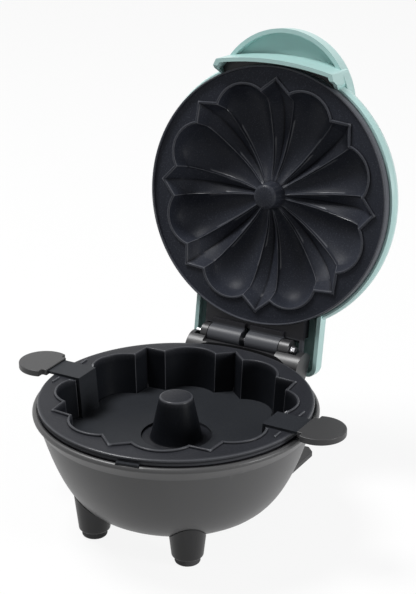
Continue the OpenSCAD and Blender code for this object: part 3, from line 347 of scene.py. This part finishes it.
def plain(name, colour, lighter, gloss, weave=None):
    """weave is how closely the bands of a braided sleeve lie."""
    finish = Finish(name)
    patch = finish.noise(220.0, 4.0)
    fine = finish.noise(1400.0, 2.0)
    height = fine
    if weave:
        rings = finish.node("ShaderNodeTexWave", {"wave_type": "BANDS", "bands_direction": "DIAGONAL"},
                            {"Vector": finish.place(), "Scale": weave, "Distortion": 2.0}, output="Fac")
        height = rings * 0.7 + fine * 0.3
    finish.feed(Base_Color=finish.blend(patch, rgb(*colour), rgb(*lighter)),
                Roughness=gloss + (fine - 0.5) * 0.1,
                Normal=finish.bump(height, 0.1 * MM, 0.5))
    return finish.material


bright_steel = metal("bright_steel", (0.60, 0.60, 0.62), (0.48, 0.48, 0.50), 0.16)
heater_steel = metal("heater_steel", (0.20, 0.17, 0.15), (0.30, 0.27, 0.25), 0.38)
shield_steel = metal("shield_steel", (0.62, 0.63, 0.65), (0.50, 0.51, 0.53), 0.28, streak=0.1)
ceramic = plain("ceramic", (0.70, 0.67, 0.60), (0.80, 0.78, 0.72), 0.45)
sleeve = plain("wire_sleeve", (0.62, 0.58, 0.48), (0.75, 0.72, 0.62), 0.7, weave=420.0)
board = plain("circuit_board", (0.03, 0.13, 0.06), (0.05, 0.18, 0.09), 0.4)
lens_red = plain("lens_red", (0.42, 0.02, 0.015), (0.50, 0.035, 0.025), 0.14)
lamp_glass = plain("lamp_glass", (0.75, 0.72, 0.60), (0.85, 0.82, 0.70), 0.12)
print("metals and small finishes made")

# %% [markdown]
# Everything the construction file calls a lid part was laid out in the lid's own plan and then swung open
# about the hinge pin. New lid pieces are made the same way: in millimetres in the lid's plan, z up through
# the shell, then turned by the same angle about the same pin. The plan lies 1 mm above the seam when the lid
# is closed. Base pieces are only scaled to metres.

# %% From plan to place
closed_gap = 1.0
plan_above_pin = seam - hinge_z + closed_gap


def on_base(x, y, z):
    return Vector((x, y, z)) * MM


def on_lid(x, y, z):
    behind, above = y - hinge_y, z + plan_above_pin
    return Vector((x, hinge_y + behind * math.cos(open_angle) + above * math.sin(open_angle),
                   hinge_z - behind * math.sin(open_angle) + above * math.cos(open_angle))) * MM


print("plan helpers ready, lid opened by", round(math.degrees(open_angle), 1), "degrees")

# %% [markdown]
# An operator of Blender acts on all that is selected, and the loaded solids are all selected. So each step
# starts by leaving one piece selected and active. A modifier is applied at once, which makes its shape part
# of the mesh. A cleaned mesh has its doubled vertices merged, its flat stretches joined and its faces turned
# outwards.

# %% Working on one piece
def only(piece):
    bpy.ops.object.select_all(action="DESELECT")
    piece.select_set(True)
    bpy.context.view_layer.objects.active = piece


def apply(piece, kind, **settings):
    only(piece)
    modifier = piece.modifiers.new(kind.lower(), kind)
    for key, value in settings.items():
        setattr(modifier, key, value)
    bpy.ops.object.modifier_apply(modifier=modifier.name)


def cleaned(piece, merge=None, flatten=None):
    only(piece)
    bpy.ops.object.mode_set(mode="EDIT")
    bpy.ops.mesh.select_all(action="SELECT")
    if merge:
        bpy.ops.mesh.remove_doubles(threshold=merge * MM)
    if flatten:
        bpy.ops.mesh.dissolve_limited(angle_limit=math.radians(flatten), delimit=set())
    bpy.ops.mesh.normals_make_consistent(inside=False)
    bpy.ops.object.mode_set(mode="OBJECT")


def flat_grid(rows, columns, points):
    """A grid of rows by columns of vertices, each put on its point."""
    bpy.ops.object.select_all(action="DESELECT")
    bpy.ops.mesh.primitive_grid_add(x_subdivisions=rows - 1, y_subdivisions=columns - 1, size=0.1)
    piece = bpy.context.object
    piece.data.vertices.foreach_set("co", points)
    piece.data.update()
    return piece


def finish_piece(piece, name, finish, body, angle=32):
    """Names a piece, shades it smooth except over its sharp edges, and hands it to its body."""
    only(piece)
    piece.name = piece.data.name = name
    bpy.ops.object.shade_smooth_by_angle(angle=math.radians(angle))
    piece.data.materials.clear()
    piece.data.materials.append(finish)
    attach(piece, body)
    print(f"{name}: {len(piece.data.polygons)} faces on {body}")


print("piece helpers ready")

# %% [markdown]
# The sections of both plates are lines of (radius, height) points. Straight runs, soft curves and gentle
# changes between two values come up again and again, so each is a function. The curve goes through its points
# by Catmull and Rom's rule, which needs no handles.

# %% Lines and curves
def mix(a, b, share):
    return a + (b - a) * share


def ease(low, high, value):
    """0 up to low, 1 from high on, and a smooth rise between them."""
    share = min(1.0, max(0.0, (value - low) / (high - low)))
    return share * share * (3 - 2 * share)


def between(start, end, share):
    return tuple(mix(a, b, share) for a, b in zip(start, end))


def straight(start, end, shares):
    return [between(start, end, share) for share in shares]


def along(points, share):
    """The point at a share, from 0 to 1, of a list of points."""
    place = share * (len(points) - 1)
    i = min(int(place), len(points) - 2)
    return between(points[i], points[i + 1], place - i)


def smooth_line(points, steps):
    """A curve through (r, z) points, by Catmull and Rom's rule."""
    line = []
    for i in range(len(points) - 1):
        before, here = points[max(i - 1, 0)], points[i]
        there, after = points[i + 1], points[min(i + 2, len(points) - 1)]
        for t in (j / steps for j in range(steps)):
            line.append(tuple(0.5 * (2 * b + (c - a) * t + (2 * a - 5 * b + 4 * c - d) * t * t
                                     + (3 * b - a - 3 * c + d) * t ** 3)
                              for a, b, c, d in zip(before, here, there, after)))
    return line + [points[-1]]


print("line helpers ready")

# %% [markdown]
# One outline runs through both plates: 8 pointed petals and 8 round ones. A pointed petal is two straight
# edges from a cusp out to its tip. A round petal is one arc from cusp to cusp. The outline is sampled by
# angle, closely on the arcs, with a sample exactly on each tip and cusp so that those corners stay crisp.

# %% The petals' outline
petals = 8
pitch = 360.0 / petals
petal_tip = plate_r - 7.4
petal_cusp = petal_tip - 6.4
petal_lobe = petal_tip - 1.2
petal_half = 8.45
lobe_half = pitch / 2 - petal_half
chord = petal_cusp * math.sin(math.radians(lobe_half))
rise = petal_lobe - petal_cusp * math.cos(math.radians(lobe_half))
arc_r = (chord * chord + rise * rise) / (2 * rise)
arc_middle = petal_lobe - arc_r


def off_tip(angle):
    """How far an angle is from the nearest pointed petal's middle, in degrees."""
    return abs((angle + pitch / 2) % pitch - pitch / 2)


def outline(angle, grow=0.0):
    """Radius of the petals' edge, moved out by grow, at an angle in degrees."""
    aside = off_tip(angle)
    if aside <= petal_half:
        tip, cusp = petal_tip + grow * 1.3, outline(petal_half + 1e-6, grow)
        turn, span = math.radians(aside), math.radians(petal_half)
        return tip * cusp * math.sin(span) / (cusp * math.sin(span - turn) + tip * math.sin(turn))
    turn = math.radians(aside - pitch / 2)
    return arc_middle * math.cos(turn) + math.sqrt((arc_r + grow) ** 2 - (arc_middle * math.sin(turn)) ** 2)


def petal_columns(side_steps, lobe_steps, beside_cusp):
    """Columns of one plate as (angle in degrees, sideways shift in mm), closely spaced beside each cusp."""
    columns = []
    for start in (pitch * k for k in range(petals)):
        columns += [(start + petal_half * i / side_steps, 0.0) for i in range(side_steps)]
        columns += [(start + petal_half, shift) for shift in beside_cusp]
        columns += [(start + petal_half + 2 * lobe_half * i / lobe_steps, 0.0) for i in range(1, lobe_steps)]
        columns += [(start + pitch - petal_half, shift) for shift in beside_cusp]
        columns += [(start + pitch - petal_half * (1 - i / side_steps), 0.0) for i in range(1, side_steps)]
    return columns


rib_shifts = (-0.75, -0.5, -0.25, 0.0, 0.25, 0.5, 0.75)
plate_columns = petal_columns(6, 26, rib_shifts)
print("outline:", len(plate_columns), "columns, tip", petal_tip, "cusp", petal_cusp, "lobe", petal_lobe)

# %% [markdown]
# Each plate is pressed from one sheet, so its section changes smoothly round the ring. A potter would throw
# it and then flute it. Here a flat grid is added with one row for each step along the section and one column
# for each angle, and every vertex is then put on the section that belongs to its angle. Its seam and the pole
# at the middle are merged, so the shell is closed. Extruding rings by hand would give the same mesh with many
# more steps, and a modifier could not follow the petals. Where the surface turns sharply outwards the coat
# gets a painted highlight, and where it turns inwards painted shade, so both are measured and stored for the
# finish.

# %% A disc whose section changes with the angle
edge_turn_from, edge_turn_full = 0.05, 0.30


def fluted_disc(section, columns, place):
    points = []
    for column in columns + [columns[0]]:
        for r, z, angle in section(*column):
            turn = math.radians(angle)
            points.extend(place(r * math.cos(turn), r * math.sin(turn), z))
    piece = flat_grid(len(section(*columns[0])), len(columns) + 1, points)
    cleaned(piece, merge=0.002)
    return piece


def shifted(angle, shift, r):
    """The angle of a point at radius r that lies a sideways shift, in mm, from a ray. Close to the middle
    the shift counts as it would 5 mm out."""
    return angle + math.degrees(shift / max(r, 5.0))


def mark_edges(piece):
    """Stores, for each vertex, how strongly the surface turns outwards or inwards there, from 0 to 1."""
    mesh = piece.data
    turn = [0.0] * len(mesh.vertices)
    count = [0] * len(mesh.vertices)
    for edge in mesh.edges:
        for here, there in (edge.vertices, reversed(edge.vertices)):
            step = (mesh.vertices[there].co - mesh.vertices[here].co).normalized()
            turn[here] -= step.dot(mesh.vertices[here].normal)
            count[here] += 1
    # Outward turns carry a painted highlight in the coats, and inward turns carry painted shade.
    for name, sign in (("worn", 1), ("crease", -1)):
        shares = [ease(edge_turn_from, edge_turn_full, sign * t / max(n, 1)) for t, n in zip(turn, count)]
        mesh.attributes.new(name, "FLOAT", "POINT").data.foreach_set("value", shares)


print("disc helper ready")

# %% [markdown]
# A thin raised bead follows the petals on both plates. It is drawn once, as places across its own width, and
# each plate gives it the heights. On the lower plate it stops where the lifter's straps pass.

# %% The bead along the petals
bead_width = 1.2
bead_rise = 1.1
bead_run_out = 0.5
strap_half = 9.0
bead_places = (0.0, 0.12, 0.32, 0.62, 0.86, 1.0, 1.04, 1.3)


def over_bead(edge, width, heights):
    return [(edge + width * place, height) for place, height in zip(bead_places, heights)]


def bead_height(angle, r):
    """The bead is cut away where a strap passes over the flange."""
    aside = abs(r * math.sin(math.radians(angle)))
    return bead_rise * min(1.0, max(0.0, (aside - strap_half) / bead_run_out))


print("bead:", bead_width, "mm wide and", bead_rise, "mm high")

# %% [markdown]
# The lower plate has a flat flange, the bead, a fluted wall that narrows a little towards the floor, and a
# cone in the middle that makes the hole of the cake. Its section starts on the cone, runs over the floor, up
# the wall, over the bead and the flange, down and up its skirt, and comes back along the underside.

# %% Lower plate
cone_top, cone_base, cone_height = 8.4, 12.9, seam - 0.6
skirt_low, skirt_out, skirt_in = seam - 4.6, plate_r - 0.4, plate_r - 2.2
quarters = (0.25, 0.5, 0.75, 1.0)


def cone_line():
    line = [(0, cone_height), (cone_top - 1.2, cone_height), (cone_top - 0.5, cone_height - 0.12),
            (cone_top - 0.12, cone_height - 0.5), (cone_top + 0.05, cone_height - 1.2)]
    line += straight(line[-1], (cone_base - 0.1, floor + 0.9), quarters)
    return line + [(cone_base + 0.25, floor + 0.25), (cone_base + 0.9, floor)]


def wall_line(edge):
    """Over the floor to the wall's foot and up to the petals' edge."""
    foot = edge * (petal_cusp - 1.4) / petal_cusp
    line = straight((cone_base + 0.9, floor), (foot - 1.2, floor), (0.33, 0.66, 1.0))
    line += [(foot - 0.5, floor + 0.12), (foot - 0.1, floor + 0.5), (foot + 0.06, floor + 1.2)]
    return line + straight(line[-1], (edge - 0.02, flange_top - 0.4), quarters)


def skirt_line():
    """Round the flange's edge, down the skirt and up inside it."""
    edge = [(plate_r - 0.6, flange_top - 0.1), (plate_r - 0.15, flange_top - 0.4),
            (plate_r, flange_top - 0.9), (plate_r - 0.1, flange_top - 1.35)]
    return edge + [(skirt_out + 0.05, flange_top - 1.6), (skirt_out, skirt_low + 0.3),
                   (skirt_out - 0.3, skirt_low), (skirt_in + 0.3, skirt_low),
                   (skirt_in, skirt_low + 0.3), (skirt_in - 0.05, flange_top - 2.0)]


def under_line(back):
    """Down the back of the wall, which follows the petals within limits, and up under the cone."""
    limits = [(0.0, 63.4, flange_top - 2.0), (0.0, 61.5, seam - 8.0), (0.6, 60.0, seam - 16.0),
              (1.2, 58.2, under + 1.2), (1.9, 57.4, under)]
    line = [(min(back - inset, limit), z) for inset, limit, z in limits]
    return line + [(cone_base + 2.6, under), (cone_base + 1.7, under + 0.4), (cone_base - 0.6, under + 3.0),
                   (cone_top - 1.4, cone_height - 2.4), (0, cone_height - 2.4)]


def lower_section(ray, shift):
    angle = shifted(ray, shift, petal_cusp)
    edge = outline(angle)
    bead = bead_height(angle, edge)
    heights = [flange_top + bead * share for share in (0.55, 0.85, 1.0, 1.0, 0.85, 0.5)]
    heights += [flange_top + 0.03, flange_top]
    line = cone_line() + wall_line(edge) + over_bead(edge, outline(angle, bead_width) - edge, heights)
    line += straight(line[-1], (plate_r - 1.4, flange_top), (0.3, 0.65, 1.0))
    line += skirt_line() + under_line(outline(angle, 2.0))
    return [(r, z, angle) for r, z in line]


lower_plate = fluted_disc(lower_section, plate_columns, on_base)
print("lower plate:", len(lower_plate.data.vertices), "vertices")

# %% [markdown]
# Four short ribs on the flange guide the lifter's straps. They could be raised from the plate's own faces,
# but those are cut by angle and not along the straps. So each rib is a cube at its size and place, with its
# edges rounded, and joined on. The plate is then complete and takes its finish.

# %% Guide ribs
guide_x, guide_y, guide_z = plate_r - 5.6, 12.7, flange_top + 0.15
guide_size = (1.0, 6.0, 1.3)
guide_bevel = 0.4
for side_x in (-guide_x, guide_x):
    for side_y in (-guide_y, guide_y):
        bpy.ops.object.select_all(action="DESELECT")
        bpy.ops.mesh.primitive_cube_add(size=1, location=on_base(side_x, side_y, guide_z),
                                        scale=on_base(*guide_size))
        guide = bpy.context.object
        bpy.ops.object.transform_apply(location=True, rotation=True, scale=True)
        apply(guide, "BEVEL", width=guide_bevel * MM, segments=3)
        only(lower_plate)
        guide.select_set(True)
        bpy.ops.object.join()
mark_edges(lower_plate)
finish_piece(lower_plate, "ring_mould_plate", mould_coat, "base", angle=38)
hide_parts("lower_plate")

# %% [markdown]
# The upper plate has a hollow for each petal. A pointed petal has a steep end wall and then two flat facets
# that meet in a valley. A round petal is a smooth spoon. Between them run crisp ridges from the cusps in to
# the round boss. Three lines are written down from the petals' edge in to the boss, for a ridge, a valley and
# the middle of a round petal, and each angle mixes two of them.

# %% The petals' hollows
boss_r = 7.4
ridge_line = [(petal_cusp, 0.0), (52.6, 3.9), (50.8, 7.8), (47.6, 9.6), (43.0, 11.0), (36.0, 12.3),
              (28.0, 12.8), (21.0, 12.3), (15.0, 10.9), (10.5, 9.2), (boss_r, 8.2)]
valley_line = [(petal_tip, 0.0), (57.6, 3.6), (54.4, 7.2), (50.5, 10.4), (45.5, 13.2), (38.0, 15.3),
               (29.5, 16.1), (22.0, 15.3), (15.5, 13.1), (10.8, 10.7), (boss_r, 8.6)]
spoon_line = [(petal_lobe, 0.0), (58.9, 3.9), (57.2, 7.9), (53.6, 11.5), (48.2, 14.1), (40.0, 15.9),
              (31.0, 16.2), (22.5, 15.0), (15.6, 12.8), (10.8, 10.4), (boss_r, 8.6)]
curve_steps = 4


def facet_line(points, steps):
    """Straight end wall over the first two spans, a crisp corner, and a smooth run in to the boss."""
    wall = [along(points[:3], i / (2 * steps)) for i in range(2 * steps)]
    return wall + smooth_line(points[2:], steps)


ridge_curve = facet_line(ridge_line, curve_steps)
valley_curve = facet_line(valley_line, curve_steps)
spoon_curve = smooth_line(spoon_line, curve_steps)


def hollow_point(k, angle):
    """Point k of the run from the petals' edge in to the boss, at an angle in degrees."""
    aside = off_tip(angle)
    if aside <= petal_half:
        share = math.tan(math.radians(aside)) / math.tan(math.radians(petal_half))
        r, z = between(valley_curve[k], ridge_curve[k], share)
        edge = mix(petal_tip, petal_cusp, share)
    else:
        off_middle = (aside - pitch / 2) / lobe_half
        share = (1 - off_middle * off_middle) ** 0.85
        r, z = between(ridge_curve[k], spoon_curve[k], share)
        edge = mix(petal_cusp, petal_lobe, share)
    return boss_r + (r - boss_r) * (outline(angle) - boss_r) / (edge - boss_r), z


deepest = max(z for r, z in spoon_curve)
print("hollows:", len(ridge_curve), "points from the edge to the boss, deepest", round(deepest, 2), "mm")

# %% [markdown]
# The rest of the upper plate is the lower one's idea upside down: the boss in the middle, the bead, a flat
# ring and a lip. A fine rounded rib runs along each ridge. It could be swept as a piece of its own, but it is
# pressed into the sheet, so the columns beside a ridge simply rise. They lie a fixed distance from the ridge
# and close up near the middle, where the ridges meet.

# %% Upper plate
plate_face = 1.2
lip_out = plate_r - 0.4
rib_height, rib_half = 0.55, 0.62
gather_r = 16.0
boss_line = [(0, -1.2), (5.0, -1.2), (5.15, -1.15), (6.15, -0.35),
             (6.3, -0.1), (6.4, 1.0), (6.7, 5.0), (6.85, 7.2)]
lip_insets = [(1.05, plate_face - 0.1), (0.92, plate_face - 0.4), (0.85, -0.35), (0.7, -0.55), (0.45, -0.6),
              (0.15, -0.52), (0.0, -0.25), (0.0, 4.85), (0.6, 4.9), (1.55, 4.9), (1.6, plate_face + 2.0)]
back_line = [(62.5, 3.2), (61.4, 7.0), (57.6, 12.0), (51.0, 15.8), (42.0, 18.0), (34.0, 18.6), (0, 18.6)]


def rib(shift, r):
    """Height of the fine rounded rib that runs along each ridge."""
    along_ridge = ease(53.5, 49.0, r) * ease(8.5, 13.0, r)
    return rib_height * along_ridge * max(0.0, 1 - (shift / rib_half) ** 2)


def upper_section(ray, shift):
    line = [(r, z, shifted(ray, shift * r / gather_r, r)) for r, z in boss_line]
    at_cusp = abs(off_tip(ray) - petal_half) < 0.01
    for k in range(len(ridge_curve) - 1, 0, -1):
        near = ridge_curve[k][0]
        angle = shifted(ray, shift * min(1.0, near / gather_r), near)
        r, z = hollow_point(k, angle)
        line.append((r, z - (rib(shift, r) if at_cusp else 0.0), angle))
    angle = shifted(ray, shift, petal_cusp)
    edge = outline(angle)
    heights = [plate_face - depth for depth in (0.95, 0.95, bead_rise, bead_rise, 0.95, 0.55, 0.03, 0.0)]
    rim = over_bead(edge, outline(angle, bead_width) - edge, heights)
    rim += straight(rim[-1], (lip_out - 1.4, plate_face), (0.35, 0.7, 1.0))
    rim += [(lip_out - inset, z) for inset, z in lip_insets]
    return line + [(r, z, angle) for r, z in rim + back_line]


upper_plate = fluted_disc(upper_section, plate_columns, on_lid)
mark_edges(upper_plate)
finish_piece(upper_plate, "petal_plate", plate_coat, "lid", angle=38)
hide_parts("upper_plate")

# %% [markdown]
# The visor stands off from the plate, and the gap between them shows black. It lies in deep shade, and a thin
# black lining under the pale rim paints that shade darker; it stands for the lid's inner frame coming forward
# there. It is a crescent, from the plate's round edge to the visor's flatter curve. A flat grid is laid out
# between the two curves and made solid. It hides behind the rim from every side but the front, so its outer
# edge needs no bevel.

# %% Black lining, painted shade under the visor
shade_lining_half, shade_lining_height, shade_lining_sheet = 33.6, 4.33, 0.12
visor_curve, visor_front = 156.0, 69.0
across_steps, forward_steps = 40, 3


def round_edge(x):
    return -math.sqrt((plate_r - 0.2) ** 2 - x * x)


def visor_edge(x):
    return visor_curve - visor_front - math.sqrt(visor_curve ** 2 - x * x)


crescent = []
for i in range(across_steps + 1):
    x = mix(-shade_lining_half, shade_lining_half, i / across_steps)
    for j in range(forward_steps + 1):
        crescent.extend(on_lid(x, mix(round_edge(x), visor_edge(x), j / forward_steps), shade_lining_height))
# A black sheet that paints the shade in the gap under the visor darker, standing for the lid's inner frame.
shade_lining = flat_grid(forward_steps + 1, across_steps + 1, crescent)
apply(shade_lining, "SOLIDIFY", thickness=shade_lining_sheet * MM, offset=0.0)
cleaned(shade_lining)
finish_piece(shade_lining, "visor_shade_lining", black_plastic, "lid")

# %% [markdown]
# Moulded and pressed parts never have knife edges: tools are radiused by a few tenths of a millimetre so that
# plastic flows, and the small round edges catch the light. The solids have crisp edges, so the parts that are
# seen are copied, cleaned of the split vertices of an export, and given a narrow bevel that is applied. A
# bevel is better here than a subdivision, because the large surfaces stay exactly where they are. Normals
# weighted by face area keep those surfaces free of wrinkles beside slivers, and the line where the handle
# runs out on the dome is marked as crisp first.

# %% How a solid is softened
bevel_from = 30


def crisp_edges(piece, low, high):
    """Marks as sharp the edges whose two sides meet at between low and high degrees."""
    sides = {}
    for polygon in piece.data.polygons:
        for key in polygon.edge_keys:
            sides.setdefault(key, []).append(polygon.normal)
    for edge in piece.data.edges:
        pair = sides.get(edge.key, ())
        if len(pair) == 2 and low < math.degrees(pair[0].angle(pair[1])) < high:
            edge.use_edge_sharp = True


def softened(node, name, finish, body, width, segments=2, crisp_from=None):
    """Puts a copy of a solid in its place, with its edges rounded to a width in mm."""
    piece = nodes[node].copy()
    piece.data = nodes[node].data.copy()
    bpy.context.scene.collection.objects.link(piece)
    piece.parent = None
    piece.matrix_world = Matrix.Identity(4)
    cleaned(piece, merge=0.004, flatten=0.4)
    if crisp_from:
        crisp_edges(piece, crisp_from, bevel_from)
    apply(piece, "BEVEL", width=width * MM, segments=segments, limit_method="ANGLE",
          angle_limit=math.radians(bevel_from), use_clamp_overlap=True, miter_outer="MITER_ARC")
    finish_piece(piece, name, finish, body)
    apply(piece, "WEIGHTED_NORMAL", keep_sharp=True)
    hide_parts(node)


print("edges over", bevel_from, "degrees are rounded")

# %% [markdown]
# The width of each rounded edge goes by how the part is made and used. One width for all would be shorter to
# write, but real parts differ, so each gets its own: about half a millimetre on mouldings, a little more on
# the tabs that fingers pinch, and less on sheet metal and turned pins.

# %% Softened copies
softened("lid_shell", "teal_lid", teal_plastic, "lid", 0.5, crisp_from=14)
softened("base_bowl", "dark_bowl", bowl_plastic, "base", 0.4)
softened("lid_frame", "hinge_frame", hinge_plastic, "lid", 0.3)
softened("cake_lifter", "strap_lifter", sheet_coat, "lifter", 0.2)
softened("plate_clip", "front_clip", sheet_coat, "base", 0.2)
for side in ("left", "right"):
    softened("finger_tab_" + side, "tab_" + side, grip_plastic, "lifter", 0.6, 3)
for foot in ("front_left", "front_right", "rear_left", "rear_right"):
    softened("foot_" + foot, "round_foot_" + foot, dark_plastic, "base", 0.5)
softened("foot_pads", "foot_ends", rubber, "base", 0.3)
softened("rear_stand", "stand_tongue", dark_plastic, "base", 0.4)
softened("pin_cap", "bright_pin_cap", bright_steel, "base", 0.25)
softened("hinge_pin", "bright_hinge_pin", bright_steel, "base", 0.15)

# %% [markdown]
# Everything else is small or hidden in use, and the solids already have its shape, so it could be copied and
# softened like the shells without anyone seeing a difference. Each only gets its own finish. The list goes by
# what a part is made of.

# %% Finishes of the parts inside
carried = {
    dark_plastic: ["bottom_cover"],
    black_plastic: ["seat_ring", "cord_inlet"],
    bright_steel: ["foot_screws", "cover_screws", "stand_screws", "shield_screws", "upper_shield_screws",
                   "frame_screws", "plate_screws"],
    heater_steel: ["lower_element", "upper_element"],
    shield_steel: ["lower_shield", "upper_shield", "thermostat"],
    ceramic: ["terminal_block"],
    sleeve: ["thermal_fuse", "base_wiring", "lid_wiring"],
    board: ["lamp_board"],
    lens_red: ["indicator_lenses"],
    lamp_glass: ["lamps"],
}
for finish, names in carried.items():
    for name in names:
        nodes[name].data.materials.clear()
        nodes[name].data.materials.append(finish)
print("carried over:", sum(len(names) for names in carried.values()), "nodes")

# %% [markdown]
# The maker stands on white paper in plain, soft light, like a catalogue picture. A lamp from above and the
# left shapes the petals, and a low one from the right lights the bowl and the edge of the lid. Both are round
# and close, so that shadows have soft edges.

# %% Lamps
def lamp(name, size, power, place, aim):
    data = bpy.data.lights.new(name, "AREA")
    data.shape, data.size, data.energy = "DISK", size, power
    made = bpy.data.objects.new(name, data)
    made.location = place
    made.rotation_euler = (Vector(aim) - Vector(place)).to_track_quat("-Z", "Y").to_euler()
    bpy.context.scene.collection.objects.link(made)
    print(f"{name}: {power} W, {size} m across")


lamp("key_above_left", 0.50, 18.0, (-0.56, -0.12, 1.33), (0.0, 0.05, 0.12))
lamp("side_right", 0.40, 8.0, (1.15, 0.06, 0.36), (0.0, 0.0, 0.08))

# %% [markdown]
# White all round would wash out a black coat, because light comes back from everywhere. So the paper and the
# sky are white only where they are looked at, directly, in a gloss or through glass. For light on its way the
# paper is grey and the sky dim. Looked at, the paper also glows, which leaves only a light shadow on it.

# %% Paper and sky
def grey(value):
    return rgb(value, value, value)


def seen_directly(wires):
    """1 for a ray that looks at the white directly, in a gloss or through glass, 0 for light on its way."""
    camera_ray, glossy_ray, through_ray = (wires.node("ShaderNodeLightPath", output=f"Is {way} Ray")
                                           for way in ("Camera", "Glossy", "Transmission"))
    either = wires.node("ShaderNodeMath", {"operation": "MAXIMUM"}, {0: camera_ray, 1: glossy_ray})
    return wires.node("ShaderNodeMath", {"operation": "MAXIMUM"}, {0: either, 1: through_ray})


bpy.ops.mesh.primitive_plane_add(size=6.0)
floor_sheet = bpy.context.object
floor_sheet.name = "floor"
paper = Finish("floor_paper", 0.85)
looked_at = seen_directly(paper)
cloud = paper.noise(2.0, 2.0)
paper.feed(Base_Color=paper.blend(looked_at, paper.blend(cloud, grey(0.44), grey(0.46)),
                                  paper.blend(cloud, grey(0.97), grey(0.98))))
glow = paper.node("ShaderNodeEmission", {}, {"Color": grey(1), "Strength": 1.0})
paper_and_glow = paper.node("ShaderNodeMixShader", {}, {0: looked_at * 0.9, 2: glow})
paper.tree.links.new(paper.shader.outputs["BSDF"], paper_and_glow.socket.node.inputs[1])
paper.tree.links.new(paper_and_glow.socket, paper.tree.nodes["Material Output"].inputs["Surface"])
floor_sheet.data.materials.append(paper.material)

world = bpy.data.worlds.new("sky")
bpy.context.scene.world = world
world.use_nodes = True
sky = Wires(world.node_tree)
dim = sky.node("ShaderNodeBackground", {}, {"Color": grey(1), "Strength": 0.12})
white = sky.node("ShaderNodeBackground", {}, {"Color": grey(1), "Strength": 1.0})
seen_sky = sky.node("ShaderNodeMixShader", {}, {0: seen_directly(sky), 1: dim, 2: white})
world.node_tree.links.new(seen_sky.socket, world.node_tree.nodes["World Output"].inputs["Surface"])
bpy.context.scene.view_settings.view_transform = "Standard"
print("white paper and sky ready")
